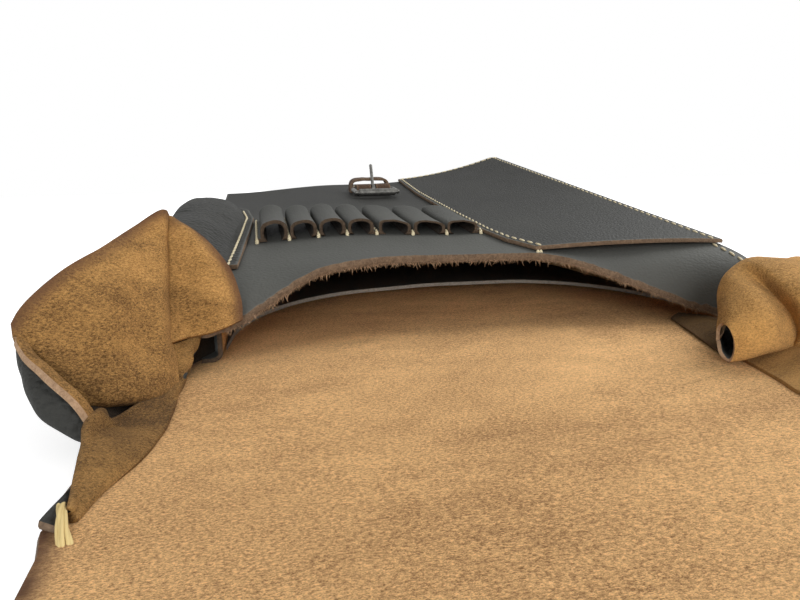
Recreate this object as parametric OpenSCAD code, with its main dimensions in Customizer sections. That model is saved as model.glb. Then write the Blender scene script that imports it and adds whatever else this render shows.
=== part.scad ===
// Leather saddle bag lying on its back with the flap laid open.
// X runs across the bag, +Y from the mouth to the bottom seam, Z up from the surface it lies on.

/* [Bag body] */
// Width between the two side seams
bag_w = 216; // [190:1:250]
// Length from the mouth line to the bottom seam
bag_len = 280; // [250:1:330]
// Height of the front panel's outer face at the mouth line
mouth_rise = 31; // [28:0.5:36]
// Height of the front panel's outer face at the bottom seam
bottom_rise = 63; // [56:0.5:72]
// Extra height of the bottom corner under the large pocket
corner_rise = 17; // [4:0.5:22]
// Drop of the front panel at the mouth's left corner
droop_left = 11; // [6:0.5:13]
// Drop of the front panel at the mouth's right corner
droop_right = 21.5; // [12:0.5:22]
// Width over which the mouth's edge drops to its left corner
drop_w_left = 42; // [34:1:60]
// Width over which the mouth's edge drops to its right corner
drop_w_right = 86; // [60:1:96]
// Length over which the drop fades away from the mouth's edge
droop_len = 9; // [7:0.5:12]
// Height of the crown of the mouth
crown_rise = 3; // [0:0.5:4]
// Place of the crown, measured from the bag's middle
crown_x = -52; // [-60:1:-30]
// Breadth of the crown
crown_w = 34; // [26:1:40]
// Distance of the mouth's edge behind the mouth line, in the bag's middle
scoop = 24; // [16:1:30]
// Reach of the mouth's left corner past the mouth line
reach_left = 12; // [8:1:14]
// Reach of the mouth's right corner past the mouth line
reach_right = 22; // [12:1:24]
// Distance of the divider's free edge from the mouth line at the side seams
divider_y = 15; // [10:1:20]
// Depth of the scoop in the divider's free edge
divider_scoop = 79; // [60:1:90]
// Room under the middle of the divider's free edge
divider_room = 5; // [4.6:0.1:6]

/* [Leather] */
// Thickness of the panels and the flap
panel_t = 3; // [2.4:0.1:3.4]
// Thickness of the gusset strips
gusset_t = 1.6; // [1.2:0.1:1.8]
// Thickness of the soft leather of ears, pockets and divider
soft_t = 1.8; // [1.2:0.1:2]
// Width of the sewn margin outside each seam
margin_w = 6; // [4:0.5:8]

/* [Lid and flap] */
// Length from the mouth line to the fold of the flap
lid_len = 112; // [105:1:130]
// Extra half width of the lid at the fold
lid_flare = 20; // [16:1:26]
// Length of each ear, from the mouth line to the end of its tail
ear_len = 100; // [92:1:103]
// Length of the flap from the fold to its rounded end
flap_len = 245; // [225:1:265]
// Amount by which each side of the flap draws in towards its end
flap_taper = 8; // [0:1:14]
// Radius of the flap's end corners
flap_corner_r = 48; // [30:1:60]

/* [Closing strap] */
// Place of the strap and buckle, measured from the bag's middle
strap_x = -9; // [-14:1:6]
// Width of the strap
strap_w = 22; // [18:0.5:26]
// Thickness of the strap
strap_t = 2.5; // [2:0.1:2.8]
// Length of the strap that is sewn under the flap
strap_sewn = 68; // [50:1:75]
// Length of the strap past the flap
strap_free = 110; // [95:1:130]
// Diameter of the punched holes
hole_d = 4.6; // [4:0.1:5]
// Spacing of the punched holes
hole_pitch = 17; // [14:0.5:18]
// Number of punched holes
hole_count = 5; // [3:1:5]

/* [Buckle] */
// Distance of the buckle's pivot from the bottom seam
buckle_set = 63; // [55:1:75]
// Diameter of the buckle's wire
wire_d = 3; // [2.6:0.1:3.6]
// Distance from the buckle's pivot bar to its front bar
buckle_l = 16; // [15:0.5:19]
// Outside diameter of the roller
roller_d = 5; // [4.6:0.1:6.4]
// Diameter of the prong
prong_d = 2.2; // [1.8:0.1:2.6]
// Lean of the raised prong, away from the mouth
prong_lean = 20; // [0:1:30]
// Thickness of the folded leather that holds the buckle
chape_t = 2; // [1.6:0.1:2.2]
// Length of the sewn part behind the buckle
chape_l = 36; // [34:1:48]
// Width of the fixed keeper band
keeper_w = 8; // [7:0.5:10]
// Distance of the keeper behind the buckle's pivot
keeper_y = 13; // [13:0.5:18]
// Height of the keeper's opening above the sewn leather
keeper_h = 6; // [5.6:0.1:6.6]

/* [Loops] */
// Distance of the loops' near ends from the mouth line
loop_y = 67; // [60:1:72]
// Length of each loop
loop_len = 49; // [40:1:52]
// Pitch of the narrow loops
narrow_pitch = 13.6; // [13:0.1:14.2]
// Number of narrow loops
narrow_count = 4; // [3:1:4]
// Height of a narrow loop as a share of a round one
narrow_flat = 0.81; // [0.76:0.01:1]
// Pitch of the wide loops
wide_pitch = 17.2; // [16:0.1:17.6]
// Number of wide loops
wide_count = 3; // [2:1:3]
// Height of a wide loop as a share of a round one
wide_flat = 0.57; // [0.56:0.01:0.8]
// Thickness of the loop leather
loop_t = 1.6; // [1.2:0.1:1.7]
// Distance of the first loop from the left seam
loop_inset = 17; // [17:0.5:20]

/* [Pockets] */
// Width of the large pocket, measured from the right seam
pocket_w = 82; // [74:1:84]
// Distance of the large pocket's mouth from the mouth line
pocket_y = 17; // [14:1:22]
// Room under the large pocket's mouth edge
pocket_room = 6; // [5.5:0.5:8]
// Distance from the left seam to the side pocket's sewn edge
side_sewn = 14; // [12:0.5:16]
// Near end of the side pocket
side_y = 32; // [31:1:38]
// Length of the side pocket
side_len = 150; // [130:1:160]
// Bulge of the side pocket above the front panel
side_bulge = 12; // [9:0.5:12.5]

/* [Hidden] */
$fn = 48;
fit = 0.3;
pin_fit = 0.1;
hw = bag_w / 2;
edge_x = hw + margin_w;
floor_z = panel_t + fit;
ear_z = floor_z + soft_t / 2 + 0.1;
rib_len = 100;
ear_gap = 1.2;
ear_draw = 5.5;
loop_foot = 1.2;
first_tab = 2;
end_tab = 0.5;
strip_gap = 0.4;
buckle_y = bag_len - buckle_set;
slope = atan((bottom_rise - mouth_rise) / bag_len);
wire_r = wire_d / 2;
pivot_h = wire_r + fit + chape_t + fit;
buckle_in = strap_w + 4;
chape_w = buckle_in - 2;
tail_h = fit + chape_t;
narrow_x = -hw + loop_inset;
wide_x = narrow_x + narrow_count * narrow_pitch + 2 * end_tab + strip_gap;
flap_y = -lid_len - fit;
flap_end = -lid_len - flap_len;
tuck = strap_t + fit;
black = [0.14, 0.15, 0.15];
pebbled = [0.12, 0.13, 0.13];
suede = [0.66, 0.48, 0.29];
brown = [0.36, 0.25, 0.16];
cord = [0.80, 0.70, 0.45];
iron = [0.45, 0.44, 0.40];

// Ribs of the left ear from its tail to the side seam, each from the lid up to the free edge.
// A point is the distance out from the ear's base line, the distance before the mouth, and the height.
LEFT_RIBS = [
    [[0, 100, 0], [1, 100, 0], [2, 101, 0.2], [3, 101, 0.5], [4, 102, 0.9]],
    [[-2.5, 79, 0], [0, 81, 0.7], [2, 83, 1.2], [3, 85, 1.7], [3, 87, 3.2]],
    [[-3.5, 58, 0], [0, 61, 0.3], [5, 66, 0.9], [7, 71, 3.7], [3, 73, 7.7]],
    [[-3.5, 40, 0], [4, 47, 1.7], [14, 56, 2.2], [19, 63, 6.7], [15, 64, 13.7]],
    [[-2.5, 28, 0], [9, 36, 4.7], [23, 44, 8.7], [32, 46, 15.7], [36, 41, 25.7]],
    [[0, 18, 0], [4, 33, 2.7], [12, 38, 10.7], [19, 33, 25.7], [26, 15, 40.4]],
    [[0, 10, 0], [0, 31, 5.7], [2, 28, 18.7], [4, 14, 35.7], [5, 0, 53.3]],
    [[-10, 14, 0], [-19, 14, 14.7], [-18, 10, 23.7], [-13, 6, 33.7], [-7, 2, 42.3]],
    [[-1, 17, 0], [-1.5, 17, 6], [-1.5, 16.5, 12], [-1, 16, 18], [-0.5, 15, 25]],
    [[0, 3, 0], [0, -5, 4.7], [0, -12, 9.7], [0, -18, 14.7], [0, -24, 19.7]]
];
// Ribs of the right ear, from the side seam to its tail, each from the lid over the top to the rolled edge.
RIGHT_RIBS = [
    [[0, 2, 0], [0, -2, 3], [0, -6, 6], [0, -9, 9], [0, -13, 11.5], [0, -16, 14], [0, -20, 16.5],
        [0, -24, 19]],
    [[0.5, 8, 0], [2, 10, 7], [2, 12, 13], [1.5, 13.5, 17], [1, 14.5, 19.5], [0.5, 15, 21],
        [0, 15.5, 22], [0, 16, 22.5]],
    [[0, 10, 0], [4, 9, 13], [-2, 11, 25], [-14, 13, 27.2], [-23, 14, 24], [-27, 15, 19.5], [-24, 15, 15.5],
        [-19, 14, 16]],
    [[0, 26, 0], [4, 25, 13], [-4, 26, 25], [-20, 28, 26.7], [-37, 30, 22.7], [-46, 32, 15.7], [-43, 32, 8.7],
        [-36, 31, 7.2]],
    [[0, 42, 0], [4, 42, 11], [-6, 42, 21], [-25, 43, 21], [-46, 46, 17], [-60, 48, 11], [-59, 48, 4.5],
        [-52, 47, 3]],
    [[0, 56, 0], [3, 57, 5], [-4, 58, 11], [-22, 59, 13], [-44, 59, 12], [-62, 59, 8], [-66, 59, 3],
        [-58, 58, 1]],
    [[0, 84, 0], [2, 85, 2.4], [-4, 86, 4.2], [-20, 86, 3.8], [-37, 85, 2.6], [-52, 84, 1.4], [-63, 83, 0.8],
        [-71, 83, 0.4]],
    [[0, 94, 0], [1, 94.2, 0.2], [0, 94.4, 0.4], [-2, 94.6, 0.5], [-4, 94.8, 0.5], [-6, 95, 0.4],
        [-8, 95, 0.3], [-10, 95, 0.2]]
];

function mix(a, b, t) = a + (b - a) * t;
function unit(v) = v / norm(v);

// Catmull-Rom curve through the listed points, from u = 0 to u = 1
function blend4(a, b, c, d, t) =
    0.5 * (2 * b + (c - a) * t + (2 * a - 5 * b + 4 * c - d) * t * t + (3 * b - a - 3 * c + d) * t * t * t);
function curve(p, u) =
    let (n = len(p), i = min(floor(u * (n - 1)), n - 2), t = u * (n - 1) - i)
    let (before = i > 0 ? p[i - 1] : 2 * p[0] - p[1], after = i < n - 2 ? p[i + 2] : 2 * p[n - 1] - p[n - 2])
    blend4(before, p[i], p[i + 1], after, t);

// Grid of points on the smooth surface through a set of ribs
function skin(ribs, rows, columns) = [
    for (i = [0:rows])
    let (rib = [for (j = [0:len(ribs[0]) - 1]) curve([for (r = ribs) r[j]], i / rows)])
    [for (k = [0:columns]) curve(rib, k / columns)]
];
function grid_normal(g, i, j) =
    let (n = len(g) - 1, m = len(g[0]) - 1)
    unit(cross(g[min(i + 1, n)][j] - g[max(i - 1, 0)][j], g[i][min(j + 1, m)] - g[i][max(j - 1, 0)]));
function offset_grid(g, h) =
    [for (i = [0:len(g) - 1]) [for (j = [0:len(g[0]) - 1]) g[i][j] + h * grid_normal(g, i, j)]];
function lowered(g, h) = [for (row = g) [for (p = row) p - [0, 0, h]]];

// Closed sheet between an upper and a lower grid of points
module sheet(upper, lower) {
    n = len(upper);
    m = len(upper[0]);
    low = n * m;
    function at(i, j) = i * m + j;
    function quad(a, b, c, d) = [[a, b, c], [a, c, d]];
    faces = [
        for (i = [0:n - 2], j = [0:m - 2])
            each quad(at(i, j), at(i, j + 1), at(i + 1, j + 1), at(i + 1, j)),
        for (i = [0:n - 2], j = [0:m - 2])
            each quad(low + at(i, j), low + at(i + 1, j), low + at(i + 1, j + 1), low + at(i, j + 1)),
        for (i = [0:n - 2]) each quad(at(i, 0), at(i + 1, 0), low + at(i + 1, 0), low + at(i, 0)),
        for (i = [0:n - 2])
            each quad(at(i + 1, m - 1), at(i, m - 1), low + at(i, m - 1), low + at(i + 1, m - 1)),
        for (j = [0:m - 2]) each quad(at(0, j + 1), at(0, j), low + at(0, j), low + at(0, j + 1)),
        for (j = [0:m - 2])
            each quad(at(n - 1, j), at(n - 1, j + 1), low + at(n - 1, j + 1), low + at(n - 1, j))
    ];
    points = [for (row = upper) each row, for (row = lower) each row];
    polyhedron(points, faces);
}

// Outer face of the front panel: a slope with an arched mouth and one raised bottom corner
function ease(t) = let (u = max(0, min(1, t))) u * u * (3 - 2 * u);
function drop(x) =
    x < 0
        ? droop_left * ease(1 - (hw + x) / drop_w_left)
        : droop_right * ease(1 - (hw - x) / drop_w_right);
function droop(x, y) = drop(x) * exp((lip_y(x) - y) / droop_len);
function crown(x, y) = crown_rise * exp(-pow((x - crown_x) / crown_w, 2)) * (1 - y / bag_len);
function corner(x, y) = corner_rise * pow(max(0, min(1, x / hw)), 2) * max(0, y) / bag_len;
function level_z(x, y) = mix(mouth_rise, bottom_rise, y / bag_len) + crown(x, y) + corner(x, y);
function front_z(x, y) = level_z(x, y) - droop(x, y);
function lip_y(x) = mix(scoop, x < 0 ? -reach_left : -reach_right, pow(min(1, abs(x) / hw), 2));

// Base line of the ears on the lid, as a distance from the bag's middle
function ear_base(y) = edge_x + ear_gap + (lid_flare - ear_draw) * y / rib_len;
function ear_point(p, side) =
    [side * (ear_base(max(0, p[1])) + p[0]), -p[1] * ear_len / rib_len, p[2] + ear_z];
function ear_points(ribs, side) = [for (r = ribs) [for (p = r) ear_point(p, side)]];

module back_panel() {
    flare_x = edge_x + lid_flare;
    clip = 2;
    corner_y = -lid_len + 4 * clip;
    neck_x = edge_x + 0.3 * lid_flare;
    neck_near = -5;
    neck_far = 8;
    color(suede)
        linear_extrude(panel_t)
            polygon([
                [-edge_x, bag_len + margin_w], [edge_x, bag_len + margin_w],
                [edge_x, neck_far], [neck_x, neck_near],
                [flare_x, corner_y], [flare_x - clip, -lid_len],
                [clip - flare_x, -lid_len], [-flare_x, corner_y],
                [-neck_x, neck_near], [-edge_x, neck_far]
            ]);
}

module front_panel() {
    columns = 24;
    rows = 20;
    stations = [-edge_x, for (i = [0:columns]) mix(-hw, hw, i / columns), edge_x];
    top = [
        for (x = stations)
        [for (j = [0:rows])
            let (y = mix(lip_y(x), bag_len + margin_w, pow(j / rows, 1.6)))
            [x, y, front_z(x, y)]]
    ];
    color(black) sheet(top, lowered(top, panel_t));
}

// Side gusset: an upright web with a sewn margin turned out at its foot and under the front panel
module side_gusset(side) {
    rows = 20;
    far = bag_len - gusset_t - fit;
    function top_z(x, y) = front_z(side * x, y) - panel_t - fit;
    inner = [
        for (i = [0:rows])
        let (y = mix(0, far, pow(i / rows, 1.6)))
        [[side * edge_x, y, floor_z], [side * (hw - gusset_t), y, floor_z],
            [side * (hw - gusset_t), y, min(top_z(hw - gusset_t, y), top_z(hw, y))],
            [side * edge_x, y, top_z(edge_x, y)]]
    ];
    outer = [
        for (row = inner)
        let (y = row[0][1])
        [[side * edge_x, y, floor_z + gusset_t], [side * hw, y, floor_z + gusset_t],
            [side * hw, y, top_z(hw, y) - gusset_t], [side * edge_x, y, top_z(edge_x, y) - gusset_t]]
    ];
    color(black)
        if (side > 0) sheet(outer, inner);
        else sheet(inner, outer);
}

module gusset_left() { side_gusset(-1); }

module gusset_right() { side_gusset(1); }

module gusset_bottom() {
    columns = 16;
    web = bag_len - gusset_t;
    far = bag_len + margin_w;
    function top_z(x, y) = front_z(x, y) - panel_t - fit;
    inner = [
        for (i = [0:columns])
        let (x = mix(-edge_x, edge_x, i / columns))
        [[x, far, floor_z], [x, web, floor_z], [x, web, top_z(x, web)], [x, far, top_z(x, far)]]
    ];
    outer = [
        for (i = [0:columns])
        let (x = mix(-edge_x, edge_x, i / columns))
        [[x, far, floor_z + gusset_t], [x, bag_len, floor_z + gusset_t],
            [x, bag_len, top_z(x, bag_len) - gusset_t], [x, far, top_z(x, far) - gusset_t]]
    ];
    color(black) sheet(inner, outer);
}

// Loose sheet on the back panel's inside, sewn in at the sides and bottom, with a scooped free edge
module inner_divider() {
    columns = 16;
    rows = 8;
    half = hw - gusset_t - fit;
    far = bag_len - gusset_t - fit;
    top = [
        for (i = [0:columns])
        let (u = mix(-1, 1, i / columns), near = divider_y + divider_scoop * sqrt(1 - pow(abs(u), 4)))
        [for (j = [0:rows])
            let (v = j / rows, y = mix(near, far, v))
            [half * u, y, floor_z + soft_t + divider_room * (1 - u * u) * pow(cos(90 * v), 2)]]
    ];
    color(black) sheet(top, lowered(top, soft_t));
}

module left_ear() {
    middle = skin(ear_points(LEFT_RIBS, -1), 30, 14);
    color(suede) sheet(offset_grid(middle, soft_t / 2), offset_grid(middle, -soft_t / 2));
}

module right_ear() {
    middle = skin(ear_points(RIGHT_RIBS, 1), 24, 20);
    color(suede) sheet(offset_grid(middle, soft_t / 2), offset_grid(middle, -soft_t / 2));
}

// Pouch sewn down beside the loops and wrapped over the left seam, open towards the mouth
module side_pocket() {
    columns = 12;
    rows = 8;
    lift = fit + soft_t / 2;
    sewn_x = side_sewn - hw;
    rise_x = sewn_x - 5;
    crest_x = sewn_x - 12;
    // From the sewn edge up over the bulge, out past the seam and back in to the gusset
    function section(y, fill) =
        let (z = front_z(-hw, y), bulge = side_bulge * fill)
        [[sewn_x, y, front_z(sewn_x, y) + lift], [rise_x, y, front_z(rise_x, y) + lift + 0.35 * bulge],
            [crest_x, y, z + lift + bulge], [-edge_x - 6 * fill, y, z + lift + 0.85 * bulge],
            [-edge_x - 2 - 15 * fill, y, z - 6], [-edge_x - 1 - 12 * fill, y, 0.6 * z],
            [-hw - lift, y, 0.42 * z]];
    middle = [
        for (j = [0:rows])
        let (v = j / rows, y = side_y + side_len * v, fill = 0.25 + 0.75 * sqrt(1 - v * v))
        [for (k = [0:columns]) curve(section(y, fill), k / columns)]
    ];
    color(pebbled) sheet(offset_grid(middle, soft_t / 2), offset_grid(middle, -soft_t / 2));
}

// Flat pocket sewn at its left, right and bottom edges, open towards the mouth
module large_pocket() {
    columns = 14;
    rows = 14;
    left = hw - pocket_w;
    top = [
        for (i = [0:columns])
        let (u = i / columns, x = mix(left, edge_x, u))
        [for (j = [0:rows])
            let (v = j / rows, y = mix(pocket_y, bag_len + margin_w, v))
            let (room = pocket_room * pow(sin(180 * u), 0.8) * (1 - pow(v, 3)))
            [x, y, level_z(x, y) + fit + soft_t + room]]
    ];
    color(black) sheet(top, lowered(top, soft_t));
}

// Strip of leather raised into a row of channels; the foot between two channels is sewn to the panel
module loop_row(x0, count, pitch, flat, tab) {
    steps = 12;
    stations = 3;
    bore_r = (pitch - loop_foot) / 2 - loop_t;
    rise = 0.7 * bore_r;
    inner_dip = asin(rise / bore_r);
    outer_dip = asin((rise - loop_t) / (bore_r + loop_t));
    function arch(i, r, dip) = [
        for (k = [0:steps])
        let (a = mix(180 + dip, -dip, k / steps))
        [x0 + (i + 0.5) * pitch + r * cos(a), flat * (rise + r * sin(a))]
    ];
    function lay(outline) = [
        for (p = outline)
        [for (j = [0:stations])
            let (y = loop_y + loop_len * j / stations)
            [p[0], y, front_z(p[0], y) + fit + max(0, p[1])]]
    ];
    last = x0 + count * pitch;
    outer_r = bore_r + loop_t;
    upper = [
        [x0 - tab, loop_t],
        for (i = [0:count - 1]) each arch(i, outer_r, outer_dip),
        [last + end_tab, loop_t]
    ];
    lower = [
        [x0 - tab, 0],
        for (i = [0:count - 1]) each arch(i, bore_r, inner_dip),
        [last + end_tab, 0]
    ];
    color(black) sheet(lay(upper), lay(lower));
}

module narrow_loops() { loop_row(narrow_x, narrow_count, narrow_pitch, narrow_flat, first_tab); }

module wide_loops() { loop_row(wide_x, wide_count, wide_pitch, wide_flat, end_tab); }

// Places its children on the front panel at the buckle, turned to the panel's slope
module on_panel() {
    translate([strap_x, buckle_y, front_z(strap_x, buckle_y)]) rotate([slope, 0, 0]) children();
}

module rod_x(d, l) { rotate([0, 90, 0]) cylinder(d = d, h = l, center = true); }

// Strip folded round the buckle's pivot bar and sewn down behind it, slotted for the prong
module buckle_chape() {
    wrap_r = wire_r + fit + chape_t;
    slot_w = prong_d + 2;
    fold_l = keeper_y - 1;
    slot_l = 7;
    crest_y = 1.5;
    toe = 0.05;
    color(brown)
        on_panel()
            difference() {
                union() {
                    translate([0, 0, pivot_h]) rod_x(2 * wrap_r, chape_w);
                    rotate([90, 0, 90])
                        linear_extrude(chape_w, center = true)
                            polygon([[0, fit + toe], [1, fit], [chape_l, fit], [chape_l, tail_h],
                                [fold_l, tail_h], [fold_l, tail_h + chape_t],
                                [crest_y, pivot_h + wrap_r - fit], [0, pivot_h]]);
                }
                translate([0, 0, pivot_h]) rod_x(wire_d + 2 * fit, chape_w + 2);
                translate([-slot_w / 2, -wrap_r - 1, -1])
                    cube([slot_w, wrap_r + 1 + slot_l, pivot_h + wrap_r + 2]);
            }
}

// Band that arches over the sewn strip and holds the strap's end
module strap_keeper() {
    play = 1.4;
    inner_w = max(chape_w, strap_w) + play;
    inner_h = tail_h + keeper_h;
    wall = chape_t;
    color(brown)
        on_panel()
            translate([0, keeper_y, fit])
                difference() {
                    translate([-inner_w / 2 - wall, 0, 0])
                        cube([inner_w + 2 * wall, keeper_w, inner_h + wall - fit]);
                    translate([-inner_w / 2, -1, -1]) cube([inner_w, keeper_w + 2, inner_h + 1 - fit]);
                }
}

// Waxed cord tacks that hold the ears' tails to the lid
module bar_tacks() {
    tack_r = 5;
    tack_y = -0.95 * ear_len - 7.5;
    cord_d = 2.4;
    inset = 2.8;
    spread = 3;
    skew = 6;
    color(cord)
        for (side = [-1, 1], turn = [0, 1])
            translate([side * (ear_base(0.95 * rib_len) - inset - spread * turn), tack_y, floor_z])
                rotate([90, 0, 90 + skew * turn])
                    rotate_extrude(angle = 180) translate([tack_r, 0]) circle(d = cord_d);
}

module flap() {
    root = edge_x + lid_flare - 2;
    corner_x = root - flap_taper - flap_corner_r;
    corner_y = flap_end + flap_corner_r;
    ramp = flap_end + strap_sewn + 6;
    ramp_l = 20;
    color(suede)
        intersection() {
            linear_extrude(20)
                polygon([
                    [-root, flap_y], [root, flap_y],
                    for (a = [0:10:90])
                        [corner_x + flap_corner_r * cos(a), corner_y - flap_corner_r * sin(a)],
                    for (a = [90:10:180])
                        [flap_corner_r * cos(a) - corner_x, corner_y - flap_corner_r * sin(a)]
                ]);
            rotate([90, 0, 90])
                linear_extrude(2 * root + 2, center = true)
                    polygon([
                        [flap_y, 0], [flap_y, panel_t], [ramp + ramp_l, panel_t], [ramp, panel_t + tuck],
                        [flap_end, panel_t + tuck], [flap_end, tuck], [ramp, tuck], [ramp + ramp_l, 0]
                    ]);
        }
}

module closing_strap() {
    tip_y = flap_end - strap_free;
    point_y = tip_y + 0.6 * strap_w;
    nose_x = 0.2 * strap_w;
    nose_y = tip_y + 2;
    first_hole = point_y + 8;
    color(black)
        translate([strap_x, 0, 0])
            difference() {
                linear_extrude(strap_t)
                    polygon([
                        [-strap_w / 2, flap_end + strap_sewn], [strap_w / 2, flap_end + strap_sewn],
                        [strap_w / 2, point_y], [nose_x, nose_y], [0, tip_y],
                        [-nose_x, nose_y], [-strap_w / 2, point_y]
                    ]);
                for (i = [0:hole_count - 1])
                    translate([0, first_hole + i * hole_pitch, -1]) cylinder(d = hole_d, h = strap_t + 2);
            }
}

// Wire frame of the buckle: pivot bar behind, front bar for the roller, two side bars
module buckle_frame() {
    side_x = buckle_in / 2 + wire_r;
    color(iron)
        on_panel()
            translate([0, 0, pivot_h]) {
                for (y = [0, -buckle_l]) translate([0, y, 0]) rod_x(wire_d, 2 * side_x);
                for (x = [-side_x, side_x]) {
                    translate([x, 0, 0]) rotate([90, 0, 0]) cylinder(d = wire_d, h = buckle_l);
                    for (y = [0, -buckle_l]) translate([x, y, 0]) sphere(d = wire_d);
                }
            }
}

module buckle_roller() {
    color(iron)
        on_panel()
            translate([0, -buckle_l, pivot_h])
                difference() {
                    rod_x(roller_d, buckle_in - 1);
                    rod_x(wire_d + 2 * pin_fit, buckle_in + 1);
                }
}

// Prong standing up from its eye on the pivot bar
module buckle_prong() {
    eye_r = wire_r + fit + chape_t - 0.2;
    prong_l = buckle_l + 2;
    color(iron)
        on_panel()
            translate([0, 0, pivot_h])
                rotate([-prong_lean - slope, 0, 0])
                    difference() {
                        union() {
                            rod_x(2 * eye_r, prong_d);
                            cylinder(d = prong_d, h = prong_l);
                            translate([0, 0, prong_l]) sphere(d = prong_d);
                        }
                        rod_x(wire_d + 2 * pin_fit, prong_d + 2);
                    }
}

back_panel();
front_panel();
gusset_left();
gusset_right();
gusset_bottom();
inner_divider();
left_ear();
right_ear();
side_pocket();
large_pocket();
narrow_loops();
wide_loops();
buckle_chape();
strap_keeper();
bar_tacks();
flap();
closing_strap();
buckle_frame();
buckle_roller();
buckle_prong();
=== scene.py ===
"""Looks of a leather saddle bag that lies open on its back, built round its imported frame."""

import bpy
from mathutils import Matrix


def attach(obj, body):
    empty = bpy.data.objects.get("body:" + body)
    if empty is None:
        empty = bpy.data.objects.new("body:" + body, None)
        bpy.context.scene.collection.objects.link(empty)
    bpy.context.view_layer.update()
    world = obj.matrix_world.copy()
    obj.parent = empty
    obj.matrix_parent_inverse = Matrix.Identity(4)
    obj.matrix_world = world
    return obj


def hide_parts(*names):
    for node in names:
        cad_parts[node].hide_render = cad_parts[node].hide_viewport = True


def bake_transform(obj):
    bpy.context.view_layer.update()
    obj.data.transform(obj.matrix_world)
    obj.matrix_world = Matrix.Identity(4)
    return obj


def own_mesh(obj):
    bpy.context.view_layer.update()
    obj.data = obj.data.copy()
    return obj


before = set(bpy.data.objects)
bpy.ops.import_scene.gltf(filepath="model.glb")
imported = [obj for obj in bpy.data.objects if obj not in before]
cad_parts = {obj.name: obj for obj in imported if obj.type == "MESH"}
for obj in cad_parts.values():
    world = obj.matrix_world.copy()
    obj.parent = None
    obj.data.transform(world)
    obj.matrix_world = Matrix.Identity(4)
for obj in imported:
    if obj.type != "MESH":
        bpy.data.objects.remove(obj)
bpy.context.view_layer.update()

import math

import bmesh
import bpy
import numpy as np
from bpy.props import FloatProperty, FloatVectorProperty, IntProperty, PointerProperty
from mathutils import Matrix, Vector, kdtree, noise

bl_info = {
    "name": "Leather Saddle Bag",
    "version": (1, 0, 0),
    "blender": (4, 5, 0),
    "location": "View3D > Sidebar > Saddle Bag",
    "description": "Builds the leather, thread and metal of an open saddle bag on its frame",
    "category": "Add Mesh",
}

# Sizes below are in millimetres in the frame's own axes; meshes are made in metres.
MM = 0.001
# Body of the bag: half width at the seams and at the sewn margins, length, margin, and leather.
HALF_WIDTH, EDGE, BAG_LEN, MARGIN = 108.0, 114.0, 280.0, 6.0
BOTTOM = BAG_LEN + MARGIN
PANEL_WALL, GUSSET_WALL = 3.0, 1.6
FIT, FLOOR_Z, LID_TOP = 0.3, 3.3, 3.5
# Front panel: its rise, the droop of the mouth's corners, the far sag, the mouth's crown, and the lip's run.
MOUTH_RISE, BOTTOM_RISE, CORNER_RISE = 31.0, 63.0, 17.0
DROP_LEFT, DROP_RIGHT, DROP_WIDTH_LEFT, DROP_WIDTH_RIGHT, DROP_LEN = 11.0, 21.5, 42.0, 86.0, 9.0
SAG, SAG_X, SAG_WIDTH, SAG_Y, SAG_LEN = 4.5, -28.0, 80.0, 120.0, 160.0
CROWN_RISE, CROWN_X, CROWN_WIDTH = 3.0, -52.0, 34.0
SCOOP, REACH_LEFT, REACH_RIGHT = 24.0, 12.0, 22.0
RAGGED, RAGGED_LEN = 0.8, 2.3
PANEL_SLOPE = math.atan((BOTTOM_RISE - MOUTH_RISE) / BAG_LEN)
# Flap: its fold, its end, and its rise over the strap.
FOLD_Y, FOLD_REACH = -112.0, 13.0
FLAP_END, FLAP_HALF, FLAP_ROUND = -357.0, 124.0, 48.0
LIFT, LIFT_Y, LIFT_RUN, LIFT_WIDTH = 2.8, -263.0, 20.0, 45.0
# Divider, side pocket and large pocket.
DIVIDER_Y, DIVIDER_SCOOP, DIVIDER_ARCH = 15.0, 79.0, 5.0
POUCH_Y, POUCH_LEN, POUCH_BULGE = 22.0, 158.0, 10.5
POCKET_Y, POCKET_X, POCKET_ROOM = 17.0, 27.5, 1.3
# Strap, its holes, and the leather that holds the buckle.
STRAP_X, STRAP_HALF, STRAP_TIP, STRAP_SEWN = -9.0, 11.0, FLAP_END - 110.0, FLAP_END + 68.0
STRAP_ROUND, STRAP_BEVEL = 13.0, 0.5
HOLE_RADIUS, HOLE_PITCH, HOLE_COUNT = 2.3, 17.0, 5
BUCKLE_Y, CHAPE_WALL, CHAPE_HALF, PRONG_SLOT = 217.0, 1.9, 12.0, 2.1
BAR_Z, WRAP_RADIUS = 4.1, 2.8
# Tool loops, with the places where their strips are sewn down, then seams and cord.
LOOP_Y, LOOP_LEN = 67.0, 49.0
LOOP_FEET = (-92.2, -77.4, -63.8, -50.2, -35.9, -18.0, -0.8, 17.0)
SEAM_END, SEAM_Y, STITCH_HALF = 282.0, 282.5, 8.5
CORD_RADIUS, PLY_OFFSET = 0.38, 0.25
CREASE_ANGLE = math.radians(52)

# The photograph's eye point, and its turn to the right, downwards and about the line of sight.
EYE = np.array([-90.0, -218.0, 66.0])
EYE_YAW, EYE_PITCH, EYE_ROLL = (math.radians(a) for a in (12.8, 11.3, -1.6))
FOCAL_PX, FRAME_W, FRAME_H = 600.0, 800, 600


# Shapes of the bag

def ease(t):
    """Soft step from 0 to 1."""
    t = np.clip(t, 0, 1)
    return t * t * (3 - 2 * t)


def lip_y(x):
    """Where the front panel's mouth edge lies along the bag."""
    x = np.asarray(x, float)
    return SCOOP - (SCOOP + np.where(x < 0, REACH_LEFT, REACH_RIGHT)) * np.minimum(1, np.abs(x) / HALF_WIDTH) ** 2


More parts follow.
